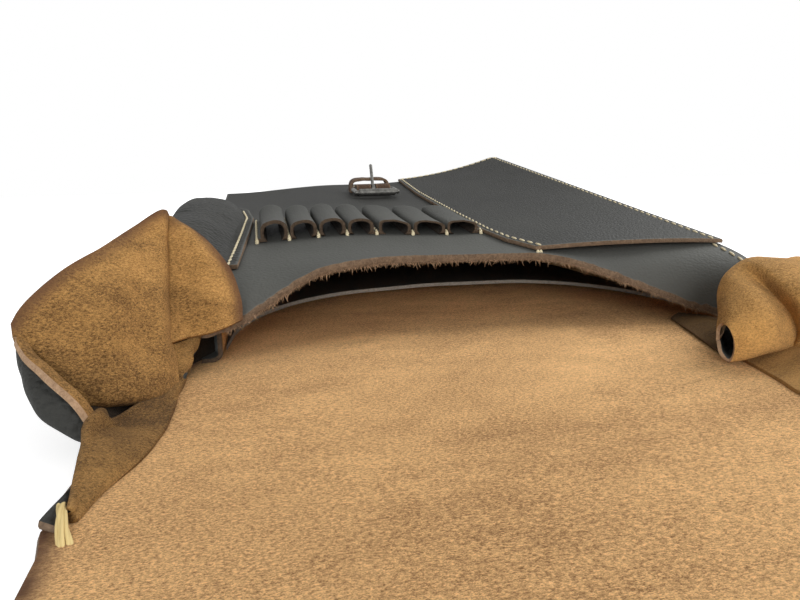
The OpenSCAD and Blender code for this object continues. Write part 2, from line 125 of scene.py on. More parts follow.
def level_z(x, y):
    """Height of the front panel's outer face, as if its mouth didn't droop."""
    x, y = np.asarray(x, float), np.asarray(y, float)
    crown = CROWN_RISE * np.exp(-((x - CROWN_X) / CROWN_WIDTH) ** 2) * (1 - y / BAG_LEN)
    corner = CORNER_RISE * np.clip(x / HALF_WIDTH, 0, 1) ** 2 * np.maximum(0, y) / BAG_LEN
    sag = SAG * ease((SAG_X - x) / SAG_WIDTH) * ease((y - SAG_Y) / SAG_LEN)
    return MOUTH_RISE + (BOTTOM_RISE - MOUTH_RISE) * y / BAG_LEN + crown + corner - sag


def front_z(x, y):
    """Height of the front panel's outer face."""
    x = np.asarray(x, float)
    left = DROP_LEFT * ease(1 - (HALF_WIDTH + x) / DROP_WIDTH_LEFT)
    right = DROP_RIGHT * ease(1 - (HALF_WIDTH - x) / DROP_WIDTH_RIGHT)
    return level_z(x, y) - np.where(x < 0, left, right) * np.exp((lip_y(x) - y) / DROP_LEN)


def eye_axes():
    """Right, up and forward of the photograph's eye."""
    cy, sy, cp, sp = math.cos(EYE_YAW), math.sin(EYE_YAW), math.cos(EYE_PITCH), math.sin(EYE_PITCH)
    right, ahead = np.array([cy, -sy, 0.0]), np.array([sy * cp, cy * cp, -sp])
    up = np.cross(right, ahead)
    cr, sr = math.cos(EYE_ROLL), math.sin(EYE_ROLL)
    return cr * right + sr * up, cr * up - sr * right, ahead


def eye_ray(px, py):
    """Direction in which the photograph's eye sees a pixel."""
    right, up, ahead = eye_axes()
    return ahead + (px - FRAME_W / 2) / FOCAL_PX * right + (FRAME_H / 2 - py) / FOCAL_PX * up


def seen(px, py, y):
    """The point that the photograph shows at a pixel, at a given distance along the bag."""
    ray = eye_ray(px, py)
    return EYE + ray * ((y - EYE[1]) / ray[1])


def laid(px, py):
    """The point that the photograph shows at a pixel, on top of the open lid."""
    ray = eye_ray(px, py)
    return EYE + ray * ((LID_TOP - EYE[2]) / ray[2])


def through(points, count):
    """Smooth run of points through the listed ones, along the first axis."""
    p = np.asarray(points, float)
    last = len(p) - 2
    p = np.concatenate([2 * p[:1] - p[1:2], p, 2 * p[-1:] - p[-2:-1]])
    u = np.linspace(0, last + 1, count)
    i = np.minimum(u.astype(int), last)
    t = (u - i).reshape((-1,) + (1,) * (p.ndim - 1))
    a, b, c, d = p[i], p[i + 1], p[i + 2], p[i + 3]
    return 0.5 * (2 * b + (c - a) * t + (2 * a - 5 * b + 4 * c - d) * t ** 2 + (3 * b - a - 3 * c + d) * t ** 3)


def skin(ribs, rows, columns):
    """Grid on the smooth surface through a set of ribs."""
    return np.swapaxes(through(np.swapaxes(through(ribs, rows), 0, 1), columns), 0, 1)


def grid_normals(g):
    """Unit normals of a grid."""
    n = np.cross(np.gradient(g, axis=0), np.gradient(g, axis=1))
    return n / np.maximum(np.linalg.norm(n, axis=2, keepdims=True), 1e-9)


def unevenness(g, size, seed):
    """Soft noise from about -1 to 1 over a grid, with lumps of the given size."""
    flat = g.reshape(-1, 3) / size
    values = [noise.noise(Vector((p[0] + seed, p[1] - seed, p[2]))) for p in flat]
    return np.array(values).reshape(g.shape[:2])


def creased(g, line, width, depth):
    """Grid pressed in along a line of points."""
    normal = grid_normals(g)
    nearest = np.full(g.shape[:2], 1e9)
    for a, b in zip(line[:-1], line[1:]):
        a, b = np.asarray(a, float), np.asarray(b, float)
        t = np.clip(((g - a) @ (b - a)) / ((b - a) @ (b - a)), 0, 1)
        nearest = np.minimum(nearest, np.linalg.norm(g - (a + t[..., None] * (b - a)), axis=2))
    return g - normal * (depth * np.exp(-(nearest / width) ** 2))[..., None]


def thick(middle, thickness):
    """Upper and lower grid of a sheet round its middle grid."""
    n = grid_normals(middle) * thickness / 2
    return middle + n, middle - n


# Meshes

def linked(name, data):
    """New object in the scene's own collection."""
    made = bpy.data.objects.new(name, data)
    bpy.context.scene.collection.objects.link(made)
    return made


def sheet_part(upper, lower, bulge=0.22, finish=(0, 1, 2), border=None):
    """Closed sheet between two grids.

    It has finishes above, below and round the cut edge, and each point's way to its border.
    """
    n, m = upper.shape[:2]
    index = np.arange(n * m).reshape(n, m)
    ring = np.concatenate([index[0, :], index[1:, -1], index[-1, -2::-1], index[-2:0:-1, 0]])
    inner = np.concatenate([index[1, :], index[1:, -2], index[-2, -2::-1], index[-2:0:-1, 1]])
    up, low = upper.reshape(-1, 3), lower.reshape(-1, 3)
    out = up[ring] - up[inner]
    out /= np.maximum(np.linalg.norm(out, axis=1, keepdims=True), 1e-9)
    depth = np.linalg.norm(up[ring] - low[ring], axis=1, keepdims=True)
    rim_points = (up[ring] + low[ring]) / 2 + out * depth * bulge
    quads = np.stack([index[:-1, :-1], index[1:, :-1], index[1:, 1:], index[:-1, 1:]], axis=-1).reshape(-1, 4)
    below = quads[:, ::-1] + n * m
    mid = 2 * n * m + np.arange(len(ring))
    after = np.roll(np.arange(len(ring)), -1)
    side_a = np.stack([ring, ring[after], mid[after], mid], axis=1)
    side_b = np.stack([mid, mid[after], ring[after] + n * m, ring + n * m], axis=1)
    border = up[ring] if border is None else border
    tree = kdtree.KDTree(len(border))
    for k, p in enumerate(border):
        tree.insert(p, k)
    tree.balance()
    way = np.array([tree.find(p)[2] for p in up])
    return {
        "points": np.concatenate([up, low, rim_points]),
        "faces": np.concatenate([quads, below, side_a, side_b]),
        "kinds": np.repeat(finish, [len(quads), len(below), 2 * len(ring)]),
        "rim": np.concatenate([way, way, way[ring]]),
    }


def made_of(name, parts, finishes):
    """One object from sheet parts, with its faces' finishes and the way to the border as an attribute."""
    shift = np.cumsum([0] + [len(p["points"]) for p in parts])
    points, kinds, rim = (np.concatenate([p[key] for p in parts]) for key in ("points", "kinds", "rim"))
    faces = np.concatenate([p["faces"] + s for p, s in zip(parts, shift)])
    mesh = bpy.data.meshes.new(name)
    mesh.from_pydata((points * MM).tolist(), [], faces.tolist())
    mesh.polygons.foreach_set("material_index", kinds)
    mesh.attributes.new("rim", "FLOAT", "POINT").data.foreach_set("value", rim.astype(np.float32))
    for finish in finishes:
        mesh.materials.append(mat(finish))
    bm = bmesh.new()
    bm.from_mesh(mesh)
    bmesh.ops.recalc_face_normals(bm, faces=bm.faces)
    bm.to_mesh(mesh)
    bm.free()
    return placed(name, mesh)


def placed(name, mesh):
    """Object with soft shading and sharp creases."""
    mesh.polygons.foreach_set("use_smooth", [True] * len(mesh.polygons))
    mesh.set_sharp_from_angle(angle=CREASE_ANGLE)
    mesh.update()
    return linked(name, mesh)


def facing(made, direction):
    """Swaps the finishes of a sheet's two sides where the upper one doesn't face a direction."""
    mesh = made.data
    normals = np.zeros(len(mesh.polygons) * 3)
    mesh.polygons.foreach_get("normal", normals)
    kinds = np.zeros(len(mesh.polygons), int)
    mesh.polygons.foreach_get("material_index", kinds)
    towards = (normals.reshape(-1, 3)[kinds == 0] @ np.array(direction, float)).sum()
    if towards < 0:
        mesh.polygons.foreach_set("material_index", np.where(kinds == 0, 1, np.where(kinds == 1, 0, kinds)))


def plain_mesh(source, name):
    """The evaluated shape of an object as a plain mesh; the source is removed."""
    bpy.context.view_layer.update()
    shape = bpy.data.meshes.new_from_object(source.evaluated_get(bpy.context.evaluated_depsgraph_get()))
    data = source.data
    bpy.data.objects.remove(source)
    (bpy.data.meshes if isinstance(data, bpy.types.Mesh) else bpy.data.curves).remove(data)
    shape.name = name
    return shape


def curve_mesh(name, runs, closed, **settings):
    """Plain mesh of a curve with its settings, along runs of points."""
    curve = bpy.data.curves.new(name, "CURVE")
    for key, value in settings.items():
        setattr(curve, key, value)
    for run in runs:
        spline = curve.splines.new("POLY")
        spline.use_cyclic_u = closed
        spline.points.add(len(run) - 1)
        spline.points.foreach_set("co", np.c_[np.asarray(run) * MM, np.ones(len(run))].ravel())
    mesh = plain_mesh(linked(name, curve), name)
    mesh.materials.clear()
    return mesh


def absorb(target, other, material):
    """Adds another object's mesh to the target, with a material of its own."""
    slot = len(target.data.materials)
    target.data.materials.append(material)
    other.data.polygons.foreach_set("material_index", [slot] * len(other.data.polygons))
    bm = bmesh.new()
    bm.from_mesh(target.data)
    bm.from_mesh(other.data)
    bm.to_mesh(target.data)
    bm.free()
    mesh = other.data
    bpy.data.objects.remove(other)
    bpy.data.meshes.remove(mesh)
    target.data.update()


# Node trees

def feed(tree, node, inputs):
    """Gives a node's inputs, by name or place, their values or the sockets that lead to them."""
    for key, value in inputs.items():
        if isinstance(value, bpy.types.NodeSocket):
            tree.links.new(value, node.inputs[key])
        else:
            node.inputs[key].default_value = value


def add(tree, kind, inputs=None, **settings):
    """New node with its settings and inputs."""
    made = tree.nodes.new(kind)
    for key, value in settings.items():
        setattr(made, key, value)
    feed(tree, made, inputs or {})
    return made


def sums(tree, operation, a, b, clamp=False):
    return add(tree, "ShaderNodeMath", {0: a, 1: b}, operation=operation, use_clamp=clamp).outputs[0]


def plus(tree, a, b, clamp=False):
    return sums(tree, "ADD", a, b, clamp)


def times(tree, a, b, clamp=False):
    return sums(tree, "MULTIPLY", a, b, clamp)


def between(tree, share, a, b):
    return add(tree, "ShaderNodeMix", {0: share, 6: a, 7: b}, data_type="RGBA").outputs[2]


def ramp(tree, value, low, high, start=0.0, end=1.0, kind="LINEAR"):
    """A value that goes from start to end while another one goes from low to high."""
    return add(tree, "ShaderNodeMapRange", {"Value": value, 1: low, 2: high, 3: start, 4: end}, clamp=True,
               interpolation_type=kind).outputs[0]


def cloud(tree, place, scale, detail, roughness=0.5, warp=0.0):
    """Value and colour of a noise."""
    return add(tree, "ShaderNodeTexNoise", {"Vector": place, "Scale": scale, "Detail": detail, "Roughness": roughness,
                                            "Distortion": warp}).outputs


def bump(tree, height, strength, distance):
    return add(tree, "ShaderNodeBump", {"Height": height, "Strength": strength, "Distance": distance}).outputs[0]


def border_mask(tree, width):
    """1 at a sheet's border, falling to 0 over a width in millimetres."""
    way = add(tree, "ShaderNodeAttribute", attribute_name="rim").outputs["Fac"]
    return ramp(tree, way, 0.0, width, 1.0, 0.0, "SMOOTHSTEP")


def shown(tree):
    """1 for rays that lead to the camera, straight or by way of gloss or glass."""
    light = add(tree, "ShaderNodeLightPath").outputs
    direct = sums(tree, "MAXIMUM", light["Is Camera Ray"], light["Is Glossy Ray"])
    return sums(tree, "MAXIMUM", direct, light["Is Transmission Ray"])


def new_tree(name, kind, inputs, outputs):
    """Empty node tree with its named sockets, its input node's sockets and its output node."""
    tree = bpy.data.node_groups.new(name, kind)
    for labels, way in ((inputs, "INPUT"), (outputs, "OUTPUT")):
        for label, socket in labels.items():
            tree.interface.new_socket(label, in_out=way, socket_type="NodeSocket" + socket)
    return tree, tree.nodes.new("NodeGroupInput").outputs, tree.nodes.new("NodeGroupOutput")


def nap_group():
    """Suede: short nap in many tones over clouds of lighter and darker hide, with burnished borders."""
    tree, given, out = new_tree(
        "Suede nap", "ShaderNodeTree",
        {"Place": "Vector", "Light": "Color", "Dark": "Color", "Burnish": "Color", "Border": "Float", "Clump": "Float",
         "Contrast": "Float", "Mottle": "Float"},
        {"Colour": "Color", "Height": "Float"},
    )

    def level(*cloud_sizes):
        return sums(tree, "SUBTRACT", cloud(tree, given["Place"], *cloud_sizes)[0], 0.5)

    slow, patch = level(14.0, 4.0, 0.6, 0.6), level(75.0, 4.0, 0.65)
    clump = level(given["Clump"], 3.0, 0.6, 0.4)
    fine = level(times(tree, given["Clump"], 2.6), 3.0, 0.75)
    hide = plus(tree, times(tree, slow, 2.4), times(tree, patch, 1.1))
    nap = plus(tree, times(tree, clump, 2.1), times(tree, fine, 2.4))
    share = plus(tree, times(tree, hide, given["Mottle"]), times(tree, nap, given["Contrast"]))
    colour = between(tree, plus(tree, share, 0.56, clamp=True), given["Dark"], given["Light"])
    edge = times(tree, given["Border"], plus(tree, times(tree, patch, 1.6), 0.95), clamp=True)
    feed(tree, out, {"Colour": between(tree, edge, colour, given["Burnish"]),
                     "Height": plus(tree, clump, times(tree, fine, 0.8))})


def grain_group():
    """Leather grain: rounded pebbles with creases between them, fine pores and slow change of tone."""
    tree, given, out = new_tree(
        "Leather grain", "ShaderNodeTree",
        {"Place": "Vector", "Pebble": "Float", "Base": "Color", "Worn": "Color", "Border": "Float"},
        {"Colour": "Color", "Height": "Float", "Rough": "Float"},
    )
    warp = cloud(tree, given["Place"], 240.0, 2.0)[1]
    moved = add(tree, "ShaderNodeVectorMath", {0: warp, 1: (0.0016, 0.0016, 0.0016)}, operation="MULTIPLY")
    place = add(tree, "ShaderNodeVectorMath", {0: given["Place"], 1: moved.outputs[0]}, operation="ADD").outputs[0]
    cells = add(tree, "ShaderNodeTexVoronoi", {"Vector": place, "Scale": given["Pebble"], "Smoothness": 0.6},
                feature="SMOOTH_F1").outputs[0]
    pores = cloud(tree, place, 2300.0, 2.0)[0]
    slow = cloud(tree, given["Place"], 21.0, 5.0, 0.6)[0]
    tone = times(tree, sums(tree, "SUBTRACT", slow, 0.42), 1.6, clamp=True)
    worn = plus(tree, times(tree, tone, 0.4), given["Border"], clamp=True)
    feed(tree, out, {"Colour": between(tree, worn, given["Base"], given["Worn"]),
                     "Height": plus(tree, sums(tree, "SUBTRACT", 1.0, cells), times(tree, pores, 0.25)),
                     "Rough": plus(tree, times(tree, slow, 0.25), 0.5)})


def new_material(name):
    """New material's node tree, its shader and a point's place on its object."""
    material = bpy.data.materials.new(name)
    material.use_nodes = True
    tree = material.node_tree
    return tree, tree.nodes["Principled BSDF"], add(tree, "ShaderNodeTexCoord").outputs["Object"]


def rgba(colour):
    return (*colour, 1.0)


def dim(colour, share):
    return tuple(share * v for v in colour)


def suede(name, light, dark, clump, contrast, mottle, border, stretch=(1.0, 1.0, 1.0)):
    """Flesh side; the clump is a scale, the border a width in millimetres."""
    tree, shader, place = new_material(name)
    place = add(tree, "ShaderNodeMapping", {"Vector": place, "Scale": stretch}).outputs[0]
    nap = add(tree, "ShaderNodeGroup", {
        "Place": place, "Light": rgba(light), "Dark": rgba(dark), "Burnish": rgba(colours().burnish),
        "Border": border_mask(tree, border), "Clump": clump, "Contrast": contrast, "Mottle": mottle,
    }, node_tree=bpy.data.node_groups["Suede nap"]).outputs
    feed(tree, shader, {"Base Color": nap["Colour"], "Roughness": 0.95, "Specular IOR Level": 0.08,
                        "Sheen Weight": 0.04, "Sheen Roughness": 0.6, "Normal": bump(tree, nap["Height"], 0.8, 0.0007)})


def grain(name, base, worn, pebble, strength, gloss, wear):
    """Grain side, rubbed paler along its cut edges and towards the bag's mouth."""
    tree, shader, place = new_material(name)
    along = add(tree, "ShaderNodeSeparateXYZ", {0: place}).outputs[1]
    mouth = ramp(tree, along, 0.02, 0.2, wear, 0.0, "SMOOTHSTEP")
    made = add(tree, "ShaderNodeGroup", {
        "Place": place, "Pebble": pebble, "Base": rgba(base), "Worn": rgba(worn),
        "Border": sums(tree, "MAXIMUM", mouth, border_mask(tree, 1.5)),
    }, node_tree=bpy.data.node_groups["Leather grain"]).outputs
    feed(tree, shader, {"Base Color": made["Colour"], "Roughness": made["Rough"], "Specular IOR Level": gloss,
                        "Normal": bump(tree, made["Height"], 1.0, 0.001 * strength)})


def fibrous(name, light, dark, scale):
    """Raw cut edge: tangled fibres in two tones."""
    tree, shader, place = new_material(name)
    strands = cloud(tree, place, scale, 6.0, 0.75, 1.2)[0]
    tone = ramp(tree, strands, 0.32, 0.68)
    feed(tree, shader, {"Base Color": between(tree, tone, rgba(dark), rgba(light)), "Roughness": 0.9,
                        "Specular IOR Level": 0.2, "Normal": bump(tree, strands, 0.6, 0.0005)})


def twisted(name, light, dark, pitch):
    """Thread or cord: slanted plies in two tones."""
    tree, shader, place = new_material(name)
    plies = add(tree, "ShaderNodeTexWave", {"Vector": place, "Scale": pitch, "Distortion": 2.5, "Detail": 2.0},
                bands_direction="DIAGONAL").outputs[1]
    feed(tree, shader, {"Base Color": between(tree, plies, rgba(dark), rgba(light)), "Roughness": 0.6,
                        "Normal": bump(tree, plies, 0.4, 0.0003)})


def aged_metal(name, bright, dull):
    """Metal in two tones, smoother where it is bright."""
    tree, shader, place = new_material(name)
    marks = cloud(tree, place, 420.0, 6.0, 0.7)[0]
    tone = ramp(tree, marks, 0.35, 0.65)
    feed(tree, shader, {"Base Color": between(tree, tone, rgba(dull), rgba(bright)), "Metallic": 0.85,
                        "Roughness": ramp(tree, marks, 0.3, 0.7, 0.6, 0.34), "Normal": bump(tree, marks, 0.25, 0.0002)})


def line_tree(name, *labels):
    """Geometry node tree that sets shapes along lines, with its named sizes."""
    return new_tree(name, "GeometryNodeTree", {"Lines": "Geometry", **{label: "Float" for label in labels}},
                    {"Made": "Geometry"})


def along_lines(tree, lines, spacing):
    """Evenly spaced points on lines, and their directions."""
    path = add(tree, "GeometryNodeMeshToCurve", {0: lines}).outputs[0]
    return add(tree, "GeometryNodeCurveToPoints", {"Curve": path, "Length": spacing}, mode="LENGTH").outputs


def stretched(tree, shape, width, length):
    size = add(tree, "ShaderNodeCombineXYZ", {0: width, 1: width, 2: length}).outputs[0]
    return add(tree, "GeometryNodeTransform", {"Geometry": shape.outputs[0], "Scale": size}).outputs[0]


def turned(tree, angles):
    return add(tree, "FunctionNodeEulerToRotation", {0: angles}).outputs[0]


def set_out(tree, out, material, placing):
    """Puts out shapes on points as one soft mesh."""
    shapes = add(tree, "GeometryNodeInstanceOnPoints", placing).outputs[0]
    real = add(tree, "GeometryNodeRealizeInstances", {0: shapes}).outputs[0]
    soft = add(tree, "GeometryNodeSetShadeSmooth", {0: real}).outputs[0]
    done = add(tree, "GeometryNodeSetMaterial", {"Geometry": soft, "Material": material}).outputs[0]
    feed(tree, out, {"Made": done})


def stitch_tree(material):
    """Stitches laid end to end along lines."""
    tree, given, out = line_tree("Stitches", "Pitch", "Length", "Thread", "Slant")
    spots = along_lines(tree, given["Lines"], given["Pitch"])
    bead = add(tree, "GeometryNodeMeshUVSphere", {"Segments": 7, "Rings": 5, "Radius": 0.5})
    lean = add(tree, "ShaderNodeCombineXYZ", {0: 0.0, 1: given["Slant"], 2: 0.0}).outputs[0]
    along = add(tree, "FunctionNodeRotateRotation", {0: spots["Rotation"], 1: turned(tree, lean)},
                rotation_space="LOCAL").outputs[0]
    set_out(tree, out, material, {"Points": spots[0], "Rotation": along,
                                  "Instance": stretched(tree, bead, given["Thread"], given["Length"])})


def fibre_tree(material):
    """Loose leather fibres that stand out from a cut edge, in one general direction."""
    tree, given, out = line_tree("Edge fibres", "Spacing", "Length", "Thickness", "Lowest turn", "Highest turn")
    spots = along_lines(tree, given["Lines"], given["Spacing"])
    hair = add(tree, "GeometryNodeMeshCone", {"Vertices": 4, "Radius Top": 0.1, "Radius Bottom": 0.5, "Depth": 1.0})
    low = add(tree, "ShaderNodeCombineXYZ", {0: given["Lowest turn"], 1: -0.7, 2: -0.9}).outputs[0]
    high = add(tree, "ShaderNodeCombineXYZ", {0: given["Highest turn"], 1: 0.7, 2: 0.9}).outputs[0]
    lean = add(tree, "FunctionNodeRandomValue", {0: low, 1: high, "Seed": 7}, data_type="FLOAT_VECTOR").outputs[0]
    chance = add(tree, "FunctionNodeRandomValue", {2: 0.0, 3: 1.0, "Seed": 11}, data_type="FLOAT").outputs[1]
    grow = plus(tree, times(tree, sums(tree, "POWER", chance, 6.0), 1.2), 0.45)
    set_out(tree, out, material, {"Points": spots[0], "Rotation": turned(tree, lean), "Scale": grow,
                                  "Instance": stretched(tree, hair, given["Thickness"], given["Length"])})


def grown(name, lines, tree_name, given):
    """Object that a geometry node tree makes along lines of points, as a plain mesh."""
    points, edges = [], []
    for line in lines:
        first = len(points)
        points.extend((np.asarray(line, float) * MM).tolist())
        edges.extend((first + k, first + k + 1) for k in range(len(line) - 1))
    mesh = bpy.data.meshes.new(name)
    mesh.from_pydata(points, edges, [])
    source = linked(name, mesh)
    modifier = source.modifiers.new(name, "NODES")
    modifier.node_group = bpy.data.node_groups[tree_name]
    for item in modifier.node_group.interface.items_tree:
        if item.in_out == "INPUT" and item.name in given:
            modifier[item.identifier] = float(given[item.name])
    made = linked(name, plain_mesh(source, name))
    if not made.data.polygons:
        raise RuntimeError(name + " came out empty")
    return made


# Settings

class BagSizes(bpy.types.PropertyGroup):
    """Sizes of leather and thread."""
    panel: FloatProperty(name="Panel leather", description="Thickness of panels and flap", default=0.003, unit="LENGTH")
    soft: FloatProperty(name="Soft leather", description="Thickness of ears, pockets and divider", default=0.0018,
                        unit="LENGTH")
    gusset: FloatProperty(name="Gusset leather", description="Thickness of the gussets and loops", default=0.0016,
                          unit="LENGTH")
    strap: FloatProperty(name="Strap leather", description="Thickness of the closing strap", default=0.0025,
                         unit="LENGTH")
    stitch_pitch: FloatProperty(name="Stitch pitch", description="Distance from stitch to stitch", default=0.0052,
                                unit="LENGTH")
    stitch_length: FloatProperty(name="Stitch length", description="Length of one stitch", default=0.0044,
                                 unit="LENGTH")
    thread: FloatProperty(name="Thread", description="Thickness of the thread", default=0.0011, unit="LENGTH")
    fibre: FloatProperty(name="Fibre length", description="Length of the loose fibres at the mouth's edge",
                         default=0.0019, unit="LENGTH")
    grid: IntProperty(name="Grid", description="Cells across the widest sheet", default=96, min=24, max=160)


class BagColours(bpy.types.PropertyGroup):
    """Colours of leather, thread and metal."""
    suede_light: FloatVectorProperty(name="Suede, light", description="Raised nap", subtype="COLOR",
                                     default=(0.95, 0.575, 0.252))
    suede_dark: FloatVectorProperty(name="Suede, dark", description="Nap in the hollows", subtype="COLOR",
                                    default=(0.24, 0.118, 0.043))
    ear_light: FloatVectorProperty(name="Ear suede, light", description="Raised nap of the ears", subtype="COLOR",
                                   default=(0.66, 0.36, 0.113))
    ear_dark: FloatVectorProperty(name="Ear suede, dark", description="Ear nap in the hollows", subtype="COLOR",
                                  default=(0.095, 0.046, 0.014))
    burnish: FloatVectorProperty(name="Burnished border", description="Darkened border of the suede", subtype="COLOR",
                                 default=(0.13, 0.062, 0.03))
    # Suede painted near-black as the shade inside the left ear's pouch and under the tool loops.
    painted_shade: FloatVectorProperty(name="Hollow suede", description="Suede inside the folds", subtype="COLOR",
                                default=(0.03, 0.018, 0.009))
    black: FloatVectorProperty(name="Black grain", description="Grain side of the leather", subtype="COLOR",
                               default=(0.026, 0.026, 0.024))
    # Worn grey: real wear on the grain, and painted light over the inside of the right ear's roll.
    worn: FloatVectorProperty(name="Worn grain", description="Rubbed black grain", subtype="COLOR",
                              default=(0.105, 0.106, 0.097))
    brown: FloatVectorProperty(name="Brown grain", description="Leather that holds the buckle", subtype="COLOR",
                               default=(0.06, 0.034, 0.02))
    brown_worn: FloatVectorProperty(name="Worn brown grain", description="Rubbed brown grain", subtype="COLOR",
                                    default=(0.13, 0.078, 0.045))
    cut_light: FloatVectorProperty(name="Cut edge, light", description="Raw edge", subtype="COLOR",
                                   default=(0.205, 0.14, 0.09))
    cut_dark: FloatVectorProperty(name="Cut edge, dark", description="Raw edge in its hollows", subtype="COLOR",
                                  default=(0.07, 0.045, 0.029))
    # Rubbed edges, also used as painted light on the mouth's fibres to lift the shade they stand in.
    rubbed_light_with_painted_light: FloatVectorProperty(name="Rubbed edge, light", description="Frayed edge", subtype="COLOR",
                                      default=(0.44, 0.29, 0.175))
    rubbed_dark_with_painted_light: FloatVectorProperty(name="Rubbed edge, dark", description="Frayed edge in its hollows",
                                     subtype="COLOR", default=(0.22, 0.135, 0.08))
    pale_light: FloatVectorProperty(name="Pale edge, light", description="Edge of the divider", subtype="COLOR",
                                    default=(0.36, 0.33, 0.28))
    pale_dark: FloatVectorProperty(name="Pale edge, dark", description="Edge of the divider in its hollows",
                                   subtype="COLOR", default=(0.16, 0.14, 0.12))
    thread: FloatVectorProperty(name="Thread", description="Linen thread", subtype="COLOR", default=(0.72, 0.62, 0.40))
    cord: FloatVectorProperty(name="Waxed cord", description="Cord of the tacks", subtype="COLOR",
                              default=(0.29, 0.205, 0.085))
    metal: FloatVectorProperty(name="Metal", description="Buckle", subtype="COLOR", default=(0.17, 0.166, 0.152))


def sizes():
    return bpy.context.scene.bag_sizes


def colours():
    return bpy.context.scene.bag_colours


def in_mm(value):
    return value / MM


def mat(name):
    return bpy.data.materials[name]


def settle(made, body, slot, *nodes):
    """A finished piece rides on its body and stands for its CAD nodes; the slot is not used."""
    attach(made, body)
    if nodes:
        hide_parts(*nodes)


class FINISHES_OT_make(bpy.types.Operator):
    """Makes the leather, thread and metal finishes"""
    bl_idname = "saddle_bag.finishes"
    bl_label = "Finishes"

    def execute(self, context):
        c = colours()
        nap_group()
        grain_group()
        suede("panel_suede", c.suede_light, c.suede_dark, clump=1700.0, contrast=0.95, mottle=0.45, border=6.0,
              stretch=(0.65, 1.15, 1.0))
        suede("ear_suede", c.ear_light, c.ear_dark, clump=1700.0, contrast=0.72, mottle=0.8, border=5.5,
              stretch=(0.6, 1.0, 1.3))
        # Painted shade: a darker copy of the ear suede for the ears' tails, which lie in shade.
        suede("tail_painted_shade_suede", dim(c.ear_light, 0.75), dim(c.ear_dark, 0.7), clump=2000.0, contrast=0.72, mottle=0.9,
              border=0.1, stretch=(0.7, 1.0, 1.2))
        # Painted shade: a dark copy of the ear suede for the root beside the mouth's right corner.
        suede("root_painted_shade_suede", dim(c.ear_light, 0.26), dim(c.ear_dark, 0.3), clump=1700.0, contrast=0.7, mottle=0.9,
              border=0.1)
        # Painted shade: near-black suede for the shaded inside of the ear's pouch and of the loops.
        suede("painted_shade_suede", c.painted_shade, dim(c.painted_shade, 0.3), clump=1000.0, contrast=0.6, mottle=0.6, border=0.1)
        grain("black_grain", c.black, c.worn, pebble=900.0, strength=0.2, gloss=0.05, wear=0.66)
        grain("pebbled_grain", c.black, c.worn, pebble=560.0, strength=0.9, gloss=0.08, wear=0.1)
        # Painted light: the roll's grain side takes the worn grey all over, lifting the shade inside the roll.
        grain("rolled_grain_painted_light", dim(c.worn, 0.85), c.worn, pebble=560.0, strength=0.7, gloss=0.08, wear=0.1)
        grain("pocket_grain", c.black, c.worn, pebble=900.0, strength=0.4, gloss=0.06, wear=0.12)
        grain("brown_grain", c.brown, c.brown_worn, pebble=700.0, strength=0.5, gloss=0.14, wear=0.0)
        fibrous("cut_edge", c.cut_light, c.cut_dark, scale=520.0)
        fibrous("dark_edge", dim(c.cut_light, 0.5), dim(c.cut_dark, 0.45), scale=900.0)
        fibrous("rubbed_edge_with_painted_light", c.rubbed_light_with_painted_light, c.rubbed_dark_with_painted_light, scale=700.0)
        fibrous("pale_edge", c.pale_light, c.pale_dark, scale=800.0)
        twisted("linen_thread", c.thread, dim(c.thread, 0.62), pitch=520.0)
        twisted("waxed_cord", c.cord, dim(c.cord, 0.55), pitch=260.0)
        aged_metal("aged_metal", c.metal, dim(c.metal, 0.45))
        stitch_tree(mat("linen_thread"))
        # The mouth's fibres take the pale rubbed-edge colour as painted light that lifts their shade.
        fibre_tree(mat("rubbed_edge_with_painted_light"))
        return {"FINISHED"}


# Leather of the body

def lid_outline():
    """Rows of the back panel and flap from the flap's end to the bottom seam: way along the bag and half width."""
    bend = np.radians(np.linspace(0, 90, 17))
    start, mouth = FLAP_END + FLAP_ROUND, 8.0
    end_y, end_half = start - FLAP_ROUND * np.cos(bend), FLAP_HALF - FLAP_ROUND + FLAP_ROUND * np.sin(bend)
    y = np.concatenate([np.linspace(a, b, count)[1:] for a, b, count in (
        (start, FOLD_Y, 62), (FOLD_Y, mouth, 46), (mouth, BOTTOM, 80))])
    half = np.interp(y, [start, FOLD_Y, -104, -5, mouth, BOTTOM], [FLAP_HALF, 132, 134, 120, EDGE, EDGE])
    return np.concatenate([end_y, y]), np.concatenate([end_half, half])


def lid_lift(x, y):
    """Rise of the flap over the strap that is sewn under its end."""
    return LIFT * ease((LIFT_Y - y) / LIFT_RUN) * (0.35 + 0.65 * np.exp(-((x - STRAP_X) / LIFT_WIDTH) ** 2))


class LID_OT_make(bpy.types.Operator):
    """Makes the back panel and the flap as one sheet, suede side up"""
    bl_idname = "saddle_bag.lid_sheet"
    bl_label = "Back Panel and Flap"

    def execute(self, context):
        y, half = lid_outline()
        u = np.linspace(-1, 1, sizes().grid + 1)
        x = u[None, :] * half[:, None]
        rows = np.repeat(y[:, None], len(u), 1)
        middle = np.stack([x, rows, np.full_like(x, in_mm(sizes().panel) / 2)], -1)
        middle[..., 2] += lid_lift(x, rows) + 0.35 + 0.35 * unevenness(middle, 70, 3.0)
        made = made_of("lid_sheet", [sheet_part(*thick(middle, in_mm(sizes().panel)))],
                       ("panel_suede", "black_grain", "cut_edge"))
        facing(made, (0, 0, 1))
        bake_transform(made)
        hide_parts("back_panel", "flap")
        return {"FINISHED"}


def under_grid(upper, thickness):
    """Sheet part that reaches an even way down from its upper grid."""
    lower = upper.copy()
    lower[..., 2] -= thickness
    return sheet_part(upper, lower)


def bag_sheet(node, part, finishes, out, slot="black_leather"):
    """Sheet of the bag in place of its CAD node, with its first finish facing out."""
    made = made_of(node + "_sheet", [part], finishes)
    facing(made, out)
    settle(made, "bag", slot, node)
    return made


